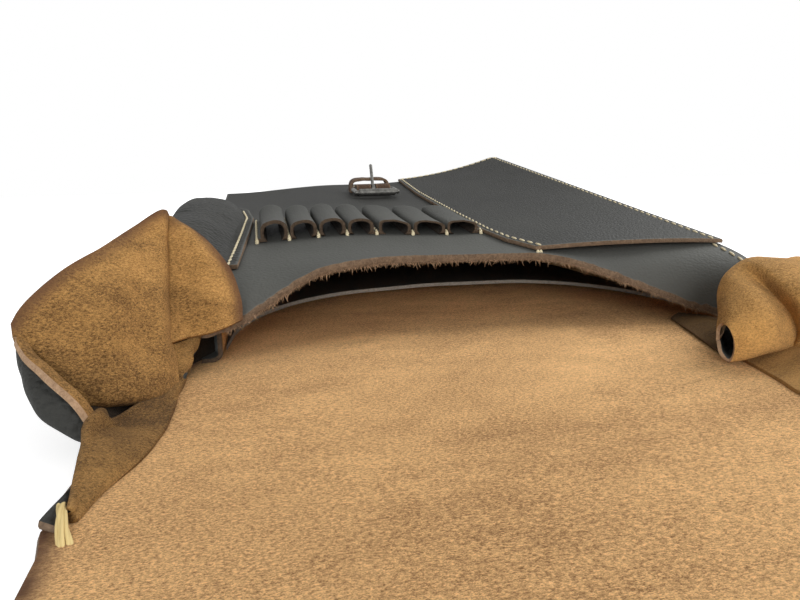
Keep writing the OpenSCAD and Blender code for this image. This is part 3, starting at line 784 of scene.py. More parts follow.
class FRONT_OT_make(bpy.types.Operator):
    """Makes the front panel with its arched, scooped and ragged mouth"""
    bl_idname = "saddle_bag.front_panel"
    bl_label = "Front Panel"

    def execute(self, context):
        x = np.linspace(-EDGE, EDGE, sizes().grid + 25)
        v = np.linspace(0, 1, 92) ** 1.35
        ragged = RAGGED * np.array([noise.noise(Vector((a / RAGGED_LEN, 0.3, 4.0))) for a in x])
        y = (lip_y(x) + ragged)[:, None] * (1 - v) + BOTTOM * v
        xs = np.repeat(x[:, None], len(v), 1)
        upper = np.stack([xs, y, front_z(xs, y)], -1)
        upper[..., 2] += 0.25 * unevenness(upper, 45, 8.0)
        bag_sheet("front_panel", under_grid(upper, in_mm(sizes().panel)), ("black_grain", "panel_suede", "cut_edge"),
                  (0, 0, 1))
        return {"FINISHED"}


def gusset_section(wall, rim, foot, top, rim_top, belly):
    """Points across a gusset, outwards and upwards, from its margin on the back to its margin under the front panel."""
    return [(rim, foot), (wall + 2, foot), (wall - 0.5, foot + 1.4), (wall - 0.8, foot + 4),
            (wall - 0.8 + belly, (foot + top) / 2), (wall - 0.8, top - 4), (wall - 0.5, top - 1.4), (wall + 2, top),
            (rim, rim_top)]


def gusset_sheet(node, rows, out, axis, seed):
    """Gusset through its rows of points, with its grain side facing out."""
    columns = 33
    middle = np.swapaxes(through(np.swapaxes(np.array(rows), 0, 1), columns), 0, 1)
    loose = np.sin(np.linspace(0, np.pi, columns))[None, :]
    middle[..., axis] += 0.3 * unevenness(middle, 16, seed) * loose
    made = bag_sheet(node, sheet_part(*thick(middle, in_mm(sizes().gusset))),
                     ("black_grain", "panel_suede", "dark_edge"), out)


class GUSSET_OT_make(bpy.types.Operator):
    """Makes the side and bottom gussets with their turned-out margins"""
    bl_idname = "saddle_bag.gussets"
    bl_label = "Gussets"

    def execute(self, context):
        t = in_mm(sizes().gusset)
        foot = FLOOR_Z + t / 2

        def under(x, y):
            return float(front_z(x, y)) - PANEL_WALL - FIT - t / 2

        for side, node, fullness in ((-1, "gusset_left", 0.4), (1, "gusset_right", 1.6)):
            rows = []
            for y in np.linspace(0, BAG_LEN - t - FIT, 70):
                top = under(side * HALF_WIDTH, y)
                belly = fullness * math.sin(math.pi * min(1.0, y / BAG_LEN))
                section = gusset_section(HALF_WIDTH, EDGE, foot, top, top, belly)
                rows.append([(side * p, y, q) for p, q in section])
            gusset_sheet(node, rows, (side, 0, 0), 0, 5.0 + side)
        rows = []
        for x in np.linspace(-EDGE, EDGE, 80):
            belly = 1.5 * math.cos(math.pi * x / (2 * EDGE))
            section = gusset_section(BAG_LEN, BOTTOM, foot, under(x, BAG_LEN), under(x, BOTTOM), belly)
            rows.append([(x, p, q) for p, q in section])
        gusset_sheet("gusset_bottom", rows, (0, 1, 0), 1, 9.0)
        return {"FINISHED"}


class DIVIDER_OT_make(bpy.types.Operator):
    """Makes the loose inner sheet with its scooped free edge"""
    bl_idname = "saddle_bag.inner_divider"
    bl_label = "Inner Divider"

    def execute(self, context):
        t = in_mm(sizes().soft)
        half = HALF_WIDTH - GUSSET_WALL - FIT
        far = BAG_LEN - GUSSET_WALL - FIT
        u = np.linspace(-1, 1, sizes().grid + 1)[:, None]
        v = np.linspace(0, 1, 60)[None, :]
        near = DIVIDER_Y + DIVIDER_SCOOP * np.sqrt(np.maximum(0, 1 - u ** 4))
        y = near + (far - near) * v
        z = FLOOR_Z + t / 2 + DIVIDER_ARCH * (1 - u ** 2) * np.cos(np.pi / 2 * v) ** 2
        middle = np.stack([half * u + 0 * v, y, z], -1)
        middle[..., 2] += 0.5 * unevenness(middle, 26, 2.0) * (1 - u ** 2)
        made = bag_sheet("inner_divider", sheet_part(*thick(middle, t)), ("black_grain", "panel_suede", "pale_edge"),
                         (0, 0, 1))
        return {"FINISHED"}


# Ears. A rib's point is a pixel of the photograph with its distance along the bag, or a pixel of the lid's top alone.
LEFT_FACE = [
    [(12.5, 325, -41), (26.5, 302, -38), (62, 271.5, -29), (101, 248.5, -19), (133, 226.5, -8), (160, 211, 0),
     (166, 214.5, 4)],
    [(14.5, 338, -43), (36, 325, -41), (68, 305, -35), (103, 288, -29), (135, 272, -21), (162, 259, -11),
     (168, 259, -4)],
    [(22.5, 353, -45), (46, 348, -44), (77, 338, -40), (107, 325, -36), (136, 312, -29), (161, 295, -20),
     (167, 297, -12)],
    [(42, 371, -48), (60, 371, -47), (86, 366, -44), (112, 360, -41), (139, 350, -35), (163, 333, -28),
     (169, 336, -20)],
    [(67.5, 392, -50), (80, 391, -49), (98, 387, -47), (120, 382, -44), (144, 376, -40), (166, 366, -33),
     (175, 364, -26)],
    [(90, 405, -50), (98, 405, -49), (108, 403.5, -48), (125, 400.5, -45.5), (146, 397, -42), (164, 393.5, -37),
     (177, 384, -30)],
    [(94, 404, -44), (102, 405, -42), (112, 404, -40), (128, 402, -37), (148, 399, -33), (168, 394, -28),
     (182, 380, -22)],
    [(98, 400, -36), (106, 401, -33), (116, 401, -31), (132, 400, -27), (152, 397, -23), (172, 391, -18),
     (186, 375, -14)],
]
LEFT_TAIL = [
    [(74, 522), (73.5, 520.5, -102), (73, 519, -101.8), (72.5, 517, -101.5), (72, 514, -101), (71, 510, -100.5),
     (72, 509, -97)],
    [(104.7, 490.6), (99, 488, -91), (93, 486, -90.7), (87.5, 484, -90.4), (82, 482.5, -90), (77.5, 481, -89.5),
     (80, 481, -84)],
    [(142, 459), (131, 456, -77), (118, 453, -77), (106, 451, -77), (94, 449.5, -77), (84.5, 448.5, -77),
     (88, 448, -69)],
    [(163, 433), (150, 433, -63), (135, 433.5, -63.5), (118, 434, -64), (101, 432, -65.5), (86.5, 427, -69.5),
     (89, 423, -62)],
    [(169, 421.5), (157, 423, -55), (142, 424.5, -56.5), (127, 427, -58), (114, 427, -60), (99, 414, -62),
     (102, 411, -54)],
    [(174, 410), (162, 411.5, -47), (149, 413.5, -49), (137, 416.5, -51), (125, 419.5, -53), (112, 421, -56),
     (113, 425, -46)],
    [(183, 384), (176, 390, -34), (167, 395.5, -37), (158, 399.5, -40), (150, 402.5, -42), (142, 405, -43),
     (144, 409, -34)],
    [(189, 366, -22), (185, 374, -25), (181, 381, -27), (176, 386, -29.5), (170, 390.5, -31), (164.5, 394, -32),
     (166, 398, -24)],
    [(194.5, 351, -18.5), (191, 357, -20.5), (187, 361, -22.5), (182, 364, -24), (176, 367, -25.5),
     (170, 368, -26.5), (166, 362, -24)],
    [(201, 336, -12), (197, 338, -13), (192, 339, -14.5), (186, 341, -16), (179, 343, -18.5), (172, 345, -21),
     (168, 344, -20)],
]
LEFT_TURN = [
    [(158, 214, 6), (166, 215, 5), (172, 219, 3.5), (178, 223, 3)],
    [(155, 240, -2), (170, 236, 0), (186, 231, -1.5), (199, 237, 1)],
    [(155, 266, -9), (176, 260, -5), (199, 253, -6), (216, 252.5, -2)],
    [(155, 293, -15), (178, 286, -9.5), (206, 278, -10), (231, 272, -5)],
    [(156, 320, -21), (182, 312, -14.5), (212, 303, -14), (240, 299, -8)],
    [(162, 347, -25), (185, 338, -18.5), (214, 331.5, -17), (241.5, 320, -11)],
]
LEFT_BELLY = [
    [(140, 430, -38), (118, 436, -47), (104, 442, -57), (96, 441, -62), (92, 437, -63.5), (97, 424, -60),
     (92.5, 427, -64.5)],
    [(155, 410, -34), (125, 424, -46), (94, 437, -59), (74, 434, -64), (69, 417, -65), (80, 400, -63),
     (74.5, 404, -66.5)],
    [(160, 400, -28), (120, 406, -43), (74, 422, -58), (44, 415, -62), (37, 393, -61), (49, 371, -55),
     (43, 375, -60)],
    [(163, 393, -22), (118, 397, -40), (68, 402, -51), (34, 389, -53), (25, 368, -52), (28, 350.5, -46),
     (22, 355, -50.5)],
    [(166, 388, -18), (120, 392, -36), (66, 387, -43), (30, 365, -44), (20, 346, -43), (18, 327, -38.5),
     (15.5, 336, -42.5)],
    [(169, 384, -16), (135, 386, -29), (90, 376, -34), (60, 350, -34), (50, 325, -32), (38, 302, -33),
     (40, 304, -29)],
    [(172, 380, -14), (150, 380, -20), (114, 365, -25), (98, 332, -23), (91, 302, -19), (87, 272, -13),
     (88, 270, -10)],
    [(178, 372, -9), (176, 366, -12), (172, 345, -14), (167, 305, -9), (166, 262, -1), (165, 228, 8), (166, 226, 10)],
]
LEFT_FLANGE = [
    [(74, 484, -88), (77, 489, -88.5), (80, 494, -89.5)],
    [(62, 499, -94), (67, 503, -95), (72, 508, -95.5)],
    [(50, 512, -99), (57, 516, -100), (64, 519, -100.5)],
    [(39, 525, -103), (48, 528, -104), (57, 531, -105)],
]
RIGHT_ROLL = [
    [(718.5, 341, -52), (721, 353, -55), (729, 360.5, -58), (734, 352, -60), (734, 340, -60), (729, 328, -57),
     (723.5, 324, -53), (719, 329, -51), (718, 341, -51)],
    [(722, 334, -39), (730, 352, -50), (745, 358.5, -60), (753, 347, -63), (748, 326, -61), (734, 306, -53),
     (719, 301, -42), (720, 306, -36), (721, 324, -36)],
    [(732, 321, -28), (752, 345, -48), (767, 352, -61), (775, 337, -64), (768, 312, -60.5), (752, 288, -51.5),
     (725, 280, -39), (727, 285, -28), (730, 314, -26)],
    [(749, 321, -18), (770, 343, -44), (788, 348, -59), (796, 334, -59.5), (788, 311, -56), (768, 290, -50),
     (740, 266, -38.5), (742, 272, -22), (748, 318, -16)],
    [(763, 321, -13), (784, 342, -42), (803, 346, -62), (812, 328, -66), (803, 303, -64), (783, 281, -56),
     (757, 260, -41), (759, 266, -21), (762, 318, -11)],
    [(781, 321, -19.5), (815, 342, -42), (845, 352, -62), (848, 326, -68), (836, 298, -65), (815, 276, -56),
     (786, 259.5, -40), (790, 272, -20), (780, 318, -17.5)],
]
# Ribs in the frame's own axes: the left pouch at its seam, and the right ear's foot on the lid, its root beside the
# mouth and its tail.
LEFT_SEAM = [
    [(-118.5, -4, 4.3), (-118.5, -4, 8), (-118.5, -4, 12), (-118.5, -3, 16), (-118, -2, 20), (-116, -1, 24),
     (-116, 1, 25)],
    [(-110.5, 10, 4.3), (-110.5, 10, 7), (-110.5, 10, 10), (-110, 9, 13), (-109.6, 8, 16), (-109.4, 5, 18),
     (-109.2, 2, 19)],
]
RIGHT_FOOT = [
    [(115, -22, 6), (117, -50, 7), (120, -72, 9), (122, -62, 18), (122, -51, 24), (121, -39, 28), (119, -27, 29.5),
     (117, -14, 28), (115.5, -5, 19)],
    [(115.5, -20, 4.3), (120, -50, 4.3), (125.5, -76, 4.3), (124, -60, 4.3), (122.6, -48, 4.3), (121, -37, 4.3),
     (119.5, -26, 4.3), (117.5, -13, 4.3), (115.5, -4, 4.3)],
]
# The right ear's root is a low sheet whose dark suede is painted shade beside the mouth's right corner.
RIGHT_ROOT = [
    [(79.5, 1.5, 4.2), (82, 3, 4.9), (85, 4, 5.6)],
    [(76, -9, 4.2), (83, -6, 5.6), (90, -4, 6.2)],
    [(72.5, -19, 4.2), (84, -16, 6.0), (95, -9, 5.2)],
    [(68.5, -30, 4.2), (85, -27, 6.3), (101, -14, 4.4)],
    [(64, -42, 4.2), (84, -40, 6.6), (104, -24, 4.8)],
    [(61, -50, 4.2), (83, -50, 6.6), (106, -34, 5.4)],
]
RIGHT_TAIL = [
    [(71, -44, 5), (86, -46, 9), (100, -48, 10), (114, -50, 7), (123, -50, 4.3)],
    [(65.6, -52, 3.6), (80, -57, 8), (97, -60, 11), (112, -62, 8), (124, -60, 4.3)],
    [(61.6, -66, 3.6), (78, -69, 8), (97, -71, 10.5), (113, -72, 7.5), (125.3, -71, 4.3)],
    [(58.2, -77, 3.6), (77, -79, 7), (97, -80, 9), (113, -81, 7), (126.5, -80, 4.3)],
    [(54.8, -87.5, 3.6), (77, -88.5, 6), (97, -89, 7.5), (114, -89, 6), (127.5, -88, 4.3)],
    [(57, -97, 3.6), (78, -96, 4.8), (98, -95, 5.5), (115, -95, 5), (128.3, -94, 4.3)],
    [(100, -103, 3.8), (108, -101.5, 4.2), (115, -100.5, 4.5), (122, -100, 4.4), (129, -99, 4.3)],
]

# A border so far off that it burnishes nothing.
FAR_BORDER = [(0.0, 0.0, 900.0)]
EAR_FINISHES = ("ear_suede", "pebbled_grain", "cut_edge", "rubbed_edge_with_painted_light", "painted_shade_suede", "tail_painted_shade_suede", "rolled_grain_painted_light",
                "root_painted_shade_suede")


def ear_skin(ribs, rows, columns, rumple, seed, more=()):
    """Softly rumpled grid through ribs of seen points, and further ribs of plain points."""
    points = [[laid(*p) if len(p) == 2 else seen(*p) for p in rib] for rib in ribs]
    grid = skin(np.array(points + [list(rib) for rib in more], float), rows, columns)
    lumps = unevenness(grid, 18, seed) + 0.4 * unevenness(grid, 7, seed + 5)
    grid = grid + grid_normals(grid) * rumple * lumps[..., None]
    grid[..., 2] = np.maximum(grid[..., 2], LID_TOP)
    return grid


def ear_part(grid, thickness, above, below, edge, border=FAR_BORDER):
    """Sheet part of an ear with its finishes by name."""
    places = [EAR_FINISHES.index(name) for name in (above, below, edge)]
    return sheet_part(*thick(grid, thickness), finish=places, border=border)


def finish_ear(made, node):
    """An ear rides on the bag with a mesh of its own and stands for its CAD node."""
    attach(made, "bag")
    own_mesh(made)
    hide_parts(node)


class LEFT_EAR_OT_make(bpy.types.Operator):
    """Makes the left ear: a crumpled pouch with a pleat, a turned corner and a tail"""
    bl_idname = "saddle_bag.left_ear"
    bl_label = "Left Ear"

    def execute(self, context):
        t = in_mm(sizes().soft)
        rows, columns, rolled_from = 110, 64, 44
        face = ear_skin(LEFT_FACE, rows, 96, 0.5, 1.0)
        face = creased(face, [seen(150, 235, -9), seen(147, 290, -24), seen(149, 350, -34)], 6.0, 1.6)
        tail = ear_skin(LEFT_TAIL, rows, 60, 0.35, 2.0)
        turn = ear_skin(LEFT_TURN, 60, 50, 0.5, 4.0)
        belly = ear_skin(LEFT_BELLY, rows, columns, 0.6, 6.0, LEFT_SEAM)
        flange = ear_skin(LEFT_FLANGE, 30, 12, 0.2, 3.0)
        # The pouch's inside takes suede painted near-black as shade.
        pouch = ear_part(belly, t, "painted_shade_suede", "pebbled_grain", "rubbed_edge_with_painted_light")
        rolled = np.tile(np.arange(columns - 1) >= rolled_from, rows - 1)
        pouch["kinds"][:rolled.size][rolled] = EAR_FINISHES.index("ear_suede")
        made = made_of("left_ear_sheet", [
            ear_part(face, t, "ear_suede", "pebbled_grain", "ear_suede", face[0]),
            # The tail's suede is painted darker as shade.
            ear_part(tail, t, "tail_painted_shade_suede", "pebbled_grain", "tail_painted_shade_suede"),
            ear_part(turn, t, "ear_suede", "pebbled_grain", "ear_suede", turn[:, -1]),
            pouch,
            ear_part(flange, t, "pebbled_grain", "ear_suede", "cut_edge"),
        ], EAR_FINISHES)
        fibres = grown("left_ear_fibres", [turn[-1]], "Edge fibres", {
            "Spacing": 0.0006, "Length": 0.0014, "Thickness": 0.00028, "Lowest turn": 1.6, "Highest turn": 3.4})
        absorb(made, fibres, mat("ear_suede"))
        finish_ear(made, "left_ear")
        return {"FINISHED"}


class RIGHT_EAR_OT_make(bpy.types.Operator):
    """Makes the right ear: a sheet rolled into a soft open lobe, with a root at the mouth and a tail on the lid"""
    bl_idname = "saddle_bag.right_ear"
    bl_label = "Right Ear"

    def execute(self, context):
        t = in_mm(sizes().soft)
        roll = ear_skin(RIGHT_ROLL, 120, 100, 0.5, 3.0, RIGHT_FOOT)
        tail = ear_skin([], 60, 50, 0.3, 5.0, RIGHT_TAIL)
        root = ear_skin([], 50, 30, 0.15, 9.0, RIGHT_ROOT)
        made = made_of("right_ear_sheet", [
            # The roll's grain side is painted lighter to lift the shade inside it.
            ear_part(roll, 0.65 * t, "ear_suede", "rolled_grain_painted_light", "rubbed_edge_with_painted_light"),
            # The root's suede is painted dark as shade.
            ear_part(root, 0.4 * t, "root_painted_shade_suede", "pebbled_grain", "root_painted_shade_suede"),
            # The tail's suede is painted darker as shade.
            ear_part(tail, t, "tail_painted_shade_suede", "pebbled_grain", "tail_painted_shade_suede"),
        ], EAR_FINISHES)
        finish_ear(made, "right_ear")
        return {"FINISHED"}


# Pockets and loops

def pouch_edge(y):
    """Where the side pocket's sewn edge lies on the panel."""
    return np.interp(y, [22, 40, 80, 125, 158, 180], [-100, -98.6, -96, -93.6, -96.5, -105])


class SIDE_POCKET_OT_make(bpy.types.Operator):
    """Makes the pebbled pocket that bulges over the left seam"""
    bl_idname = "saddle_bag.side_pocket"
    bl_label = "Side Pocket"

    def execute(self, context):
        t = in_mm(sizes().soft)
        lift = FIT + t / 2
        columns = 80
        rows = []
        for v in np.linspace(0, 1, 16):
            y = POUCH_Y + POUCH_LEN * v
            edge = float(pouch_edge(y))
            fill = 0.2 + 0.8 * math.sqrt(1 - v ** 5)
            z = float(front_z(-HALF_WIDTH, y))
            bulge = POUCH_BULGE * fill * (0.55 + 0.45 * float(ease(v / 0.25)))
            flat = [(edge + d, float(front_z(edge + d, y)) + lift) for d in (0, -2.6, -5)]
            rows.append([(p, y, q) for p, q in flat + [
                (edge - 7.4, float(front_z(edge - 7.4, y)) + lift + 0.3 * bulge),
     (edge - 13, z + lift + 0.75 * bulge),
                (min(-EDGE - 6 * fill, edge - 17), z + lift + bulge), (-EDGE - 16.5 * fill, z + lift + 0.85 * bulge),
                (-EDGE - 4 - 17 * fill, z - 5), (-EDGE - 1 - 14 * fill, 0.6 * z),
                (-HALF_WIDTH - lift - 0.6, 0.42 * z)]])
        grid = skin(np.array(rows), 110, columns)
        loose = np.sin(np.linspace(0, np.pi, columns))[None, :] ** 0.7
        lumps = 0.7 * unevenness(grid, 21, 7.0) + 0.15 * unevenness(grid, 7, 3.0)
        grid = grid + grid_normals(grid) * (loose * lumps)[..., None]
        for column, depth in ((30, 1.0), (46, 0.9)):
            grid = creased(grid, [grid[0, column], grid[26, column + 5], grid[48, column + 3]], 4.0, depth)
        made = bag_sheet("side_pocket", sheet_part(*thick(grid, t)), ("pebbled_grain", "panel_suede", "cut_edge"),
                         (-0.6, 0, 1), "pebbled_leather")
        return {"FINISHED"}


def pocket_left(y):
    """Where the large pocket's left sewn edge lies."""
    return np.interp(y, [POCKET_Y, 26, 44, 64, 120, 204, BOTTOM], [29, 26.5, 20.5, 18.4, 18.4, 20, 26])


def pocket_mouth(x):
    """Where the large pocket's mouth edge lies along the bag."""
    return 24.0 - 9.0 * (np.asarray(x, float) - 29) / 84


def pocket_top(x, y):
    """Outer face of the large pocket."""
    left = pocket_left(y)
    u = np.clip((x - left) / (EDGE - left), 0, 1)
    v = np.clip((y - POCKET_Y) / (BOTTOM - POCKET_Y), 0, 1)
    room = POCKET_ROOM * np.sin(np.pi * u) ** 0.8 * (1 - v ** 3)
    return level_z(x, y) + FIT + in_mm(sizes().soft) + room


class LARGE_POCKET_OT_make(bpy.types.Operator):
    """Makes the flat pocket at the right"""
    bl_idname = "saddle_bag.large_pocket"
    bl_label = "Large Pocket"

    def execute(self, context):
        v = np.linspace(0, 1, 120)[None, :] ** 1.2
        u = np.linspace(0, 1, 70)[:, None]
        y = pocket_mouth(POCKET_X + (EDGE - POCKET_X) * u) * (1 - v) + BOTTOM * v
        x = pocket_left(y) * (1 - u) + EDGE * u
        upper = np.stack([x, y, pocket_top(x, y)], -1)
        upper[..., 2] += 0.2 * unevenness(upper, 30, 5.0) * np.sin(np.pi * u)
        made = bag_sheet("large_pocket", under_grid(upper, in_mm(sizes().soft)),
                         ("pocket_grain", "panel_suede", "cut_edge"), (0, 0, 1))
        return {"FINISHED"}


# Loop strips: name, start, pitch, heights, length of the first tab, roundness and tilt of the arches.
LOOP_STRIPS = (
    ("narrow_loops", -91.0, 13.6, (9.6, 8.4, 8.2, 7.6), 2.0, 0.5, 0.0),
    ("wide_loops", -35.2, 17.2, (7.0, 6.8, 6.6), 0.5, 0.4, 0.1),
)


def loop_sheet(first, pitch, heights, tab, roundness, tilt):
    """Strip raised into channels across the panel, one for each height."""
    t = in_mm(sizes().gusset)
    bore = (pitch - 1.2) / 2 - t
    rise = 0.7 * bore
    last = first + len(heights) * pitch

    def arch(i, r, dip):
        a = np.linspace(math.pi + dip, -dip, 30)
        up, out = np.sin(a), np.cos(a)
        up = np.where(up > 0, np.abs(up) ** roundness, up)
        out = np.where(np.sin(a) > 0, np.sign(out) * np.abs(out) ** (2 - 1.1 / (2 - roundness)), out)
        z = heights[i] * (rise + r * up) / (rise + bore + t) * np.where(up > 0, 1 - tilt * out, 1)
        return [(first + (i + 0.5) * pitch + r * c, q) for c, q in zip(out, z)]

    def line(r, dip, base):
        run = [(first - tab, base), (first - tab * 0.4, base)]
        for i in range(len(heights)):
            run.extend(arch(i, r, dip))
        return run + [(last + 0.2, base), (last + 0.5, base)]

    outer = line(bore + t, math.asin((rise - t) / (bore + t)), t)
    inner = line(bore, math.asin(rise / bore), 0.0)
    stations = np.linspace(0, 1, 18)

    def lay(run, low):
        grid = np.zeros((len(run), len(stations), 3))
        for k, (x, z) in enumerate(run):
            y = LOOP_Y + LOOP_LEN * stations + 0.5 * math.sin(0.9 * x) * (1 - stations)
            sink = 1 - 0.08 * np.sin(np.pi * stations)
            grid[k] = np.stack([np.full_like(y, x), y, front_z(x, y) + FIT + np.maximum(low, z * sink)], -1)
        return grid

    return sheet_part(lay(outer, t), lay(inner, 0.0), 0.15)


class LOOPS_OT_make(bpy.types.Operator):
    """Makes the two strips of tool loops"""
    bl_idname = "saddle_bag.tool_loops"
    bl_label = "Tool Loops"

    def execute(self, context):
        for name, *shape in LOOP_STRIPS:
            # The loops' undersides take suede painted near-black as shade.
            made = made_of(name + "_sheet", [loop_sheet(*shape)], ("black_grain", "painted_shade_suede", "dark_edge"))
            settle(made, "bag", "black_leather", name)
        return {"FINISHED"}


# Strap and buckle

def on_panel(points):
    """Points from the buckle's own place on the sloping front panel to the frame."""
    p = np.asarray(points, float)
    c, s = math.cos(PANEL_SLOPE), math.sin(PANEL_SLOPE)
    out = np.empty_like(p)
    out[..., 0] = p[..., 0] + STRAP_X
    out[..., 1] = BUCKLE_Y + c * p[..., 1] - s * p[..., 2]
    out[..., 2] = float(front_z(STRAP_X, BUCKLE_Y)) + s * p[..., 1] + c * p[..., 2]
    return out


class BUCKLE_LEATHER_OT_make(bpy.types.Operator):
    """Makes the folded strip that holds the buckle, and the low keeper band behind it"""
    bl_idname = "saddle_bag.buckle_leather"
    bl_label = "Buckle Leather"

    def execute(self, context):
        finishes = ("brown_grain", "brown_grain", "cut_edge")

        def strip(grid):
            return sheet_part(*[on_panel(side) for side in thick(grid, CHAPE_WALL)])

        wrap = np.radians(np.linspace(-90, -270, 19))
        around = [(WRAP_RADIUS * math.cos(a), BAR_Z + WRAP_RADIUS * math.sin(a)) for a in wrap]
        whole = [(36, 1.3), (26, 1.3), (16, 1.3), (7.2, 1.3), (3, 1.3), *around, (2, 6.8), (5, 6.2), (9, 4.9),
                 (12, 3.6)]
        tail = [(36, 1.3), (26, 1.3), (16, 1.3), (11, 1.3), (7.2, 1.3)]
        cover = [(7.2, 5.6), (9, 4.9), (10.5, 4.2), (12, 3.6)]
        parts = []
        for left, right, run in ((-CHAPE_HALF, -PRONG_SLOT, whole), (PRONG_SLOT, CHAPE_HALF, whole),
                                 (-PRONG_SLOT, PRONG_SLOT, tail), (-PRONG_SLOT, PRONG_SLOT, cover)):
            xs = np.linspace(left, right, 9)
            parts.append(strip(np.array([[(x, y, z) for x in xs]
                                         for y, z in through(np.array(run, float), 3 * len(run))])))
        settle(made_of("buckle_chape_strip", parts, finishes), "bag", "brown_leather", "buckle_chape")
        arch = through(np.array([(-13.7, 0.5), (-13.8, 4), (-13.2, 7.4), (-10.5, 9.2), (-5, 9.6), (0, 9.5), (5, 9.7),
                                 (10.5, 9.2), (13.2, 7.2), (13.8, 4), (13.7, 0.5)]), 60)
        band = np.array([[(x, y + 0.25 * math.sin(x), z) for y in np.linspace(13, 21, 9)] for x, z in arch])
        band[..., 2] += 0.25 * unevenness(band, 5, 2.0)
        settle(made_of("strap_keeper_band", [strip(band)], finishes), "bag", "brown_leather", "strap_keeper")
        return {"FINISHED"}


class STRAP_OT_make(bpy.types.Operator):
    """Makes the closing strap with its rounded point and punched holes"""
    bl_idname = "saddle_bag.closing_strap"
    bl_label = "Closing Strap"

    def execute(self, context):
        name = "closing_strap_leather"
        bevel = STRAP_BEVEL * MM
        shoulder = STRAP_TIP + STRAP_ROUND + 0.2
        outline = [(STRAP_HALF, STRAP_SEWN), (STRAP_HALF, shoulder)]
        outline += [(STRAP_HALF * math.cos(a), shoulder - STRAP_ROUND * math.sin(a) ** 0.8)
                    for a in np.radians(np.linspace(0, 180, 25))[1:-1]]
        outline += [(-STRAP_HALF, shoulder), (-STRAP_HALF, STRAP_SEWN)]
        circle = [(HOLE_RADIUS * math.cos(a), HOLE_RADIUS * math.sin(a)) for a in np.linspace(0, 2 * np.pi, 25)[:-1]]
        holes = [[(x, shoulder + 8 + HOLE_PITCH * i + y) for x, y in circle] for i in range(HOLE_COUNT)]
        runs = [[(x + STRAP_X, y, 0.0) for x, y in run] for run in (outline, *holes)]
        mesh = curve_mesh(name, runs, True, dimensions="2D", fill_mode="BOTH", extrude=sizes().strap / 2 - bevel,
                          bevel_depth=bevel, bevel_resolution=2, offset=-bevel)
        mesh.transform(Matrix.Translation((0, 0, sizes().strap / 2 + 0.0001)))
        for finish in ("black_grain", "cut_edge"):
            mesh.materials.append(mat(finish))
        for polygon in mesh.polygons:
            polygon.material_index = 0 if abs(polygon.normal.z) > 0.6 else 1
        made = placed(name, mesh)
        rim = made.data.attributes.new("rim", "FLOAT", "POINT")
        rim.data.foreach_set("value", np.full(len(made.data.vertices), 6.0, np.float32))
        settle(made, "flap", "black_leather", "closing_strap")
        return {"FINISHED"}


class TACKS_OT_make(bpy.types.Operator):
    """Makes the waxed cord tacks at the ears' tails"""
    bl_idname = "saddle_bag.cord_tacks"
    bl_label = "Cord Tacks"

    def execute(self, context):
        name = "bar_tacks_cord"
        u = np.linspace(0, 1, 40)
        run = laid(66, 546)[:, None] * (1 - u) + seen(61, 503, -97)[:, None] * u
        runs = []
        for side in (-1, 1):
            for turn in (0, 1, 2):
                x = -run[0] + 0.75 * (turn - 1) + 0.45 * np.sin(2.6 * u + turn)
                z = run[2] - 0.5 + (1.5 + 0.4 * (turn == 1)) * np.sin(np.pi * u) ** 0.7
                for ply in (0, 1):
                    twist = 5 * u + math.pi * ply + turn
                    runs.append(np.stack([side * (x + PLY_OFFSET * np.cos(twist)), run[1],
                                          z + PLY_OFFSET * np.sin(twist)], -1))
        mesh = curve_mesh(name, runs, False, dimensions="3D", bevel_depth=CORD_RADIUS * MM, bevel_resolution=3,
                          use_fill_caps=True)
        mesh.materials.append(mat("waxed_cord"))
        settle(placed(name, mesh), "bag", "waxed_cord", "bar_tacks")
        return {"FINISHED"}


class METAL_OT_make(bpy.types.Operator):
    """Gives the buckle's frame, roller and prong their metal"""
    bl_idname = "saddle_bag.buckle_metal"
    bl_label = "Buckle Metal"

    def execute(self, context):
        for name in ("buckle_frame", "buckle_roller", "buckle_prong"):
            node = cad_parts[name]
            node.data.materials.clear()
            node.data.materials.append(mat("aged_metal"))
        return {"FINISHED"}


# Thread and fibres

def ear_base(before):
    """Half width of the lid where an ear is sewn to it, at a distance before the mouth."""
    return EDGE + 1.2 + 14.5 * before / 100


def seam_lines():
    """Lines of stitches on the body of the bag."""
    def on_front(x, y0, y1, rise=0.25):
        y = np.linspace(y0, y1, 60)
        return np.stack([np.full_like(y, x), y, front_z(x, y) + rise], -1)

    def on_pocket(x, y):
        return np.stack([x, y, pocket_top(x, y) + 0.2], -1)

    x = np.linspace(29, 111, 40)
    bottom_right = on_pocket(x, np.full_like(x, SEAM_Y))
    y = np.linspace(POCKET_Y, SEAM_END, 80)
    right_seam = on_pocket(np.full_like(y, 109.5), y)
    y = np.linspace(26, SEAM_END, 90)
    left_seam = on_pocket(pocket_left(y) + 2.2, y)
    y = np.linspace(23, 150, 70)
    x = pouch_edge(y) - 3.4
    pouch = np.stack([x, y, front_z(x, y) + FIT + 2.0], -1)
    lines = [right_seam, left_seam, pouch, on_front(109.5, -18, 14), on_front(-110, -8, 20), bottom_right]
    for foot in LOOP_FEET:
        lines.append(on_front(foot, LOOP_Y + 0.5, LOOP_Y + LOOP_LEN - 1, FIT + 1.75))
    for side in (-STITCH_HALF, STITCH_HALF):
        lines.append(on_panel([(side, y, 2.4) for y in np.linspace(22.5, 34.5, 12)]))
    for side in (-1, 1):
        lines.append(np.array([(side * 110, y, 0.15) for y in np.linspace(2, SEAM_END, 60)]))
        lines.append(np.array([(side * (ear_base(b) - 2.5), -b, 0.2) for b in np.linspace(2, 92, 30)]))
    lines.append(np.array([(x, SEAM_Y, 0.15) for x in np.linspace(-HALF_WIDTH, HALF_WIDTH, 50)]))
    return lines


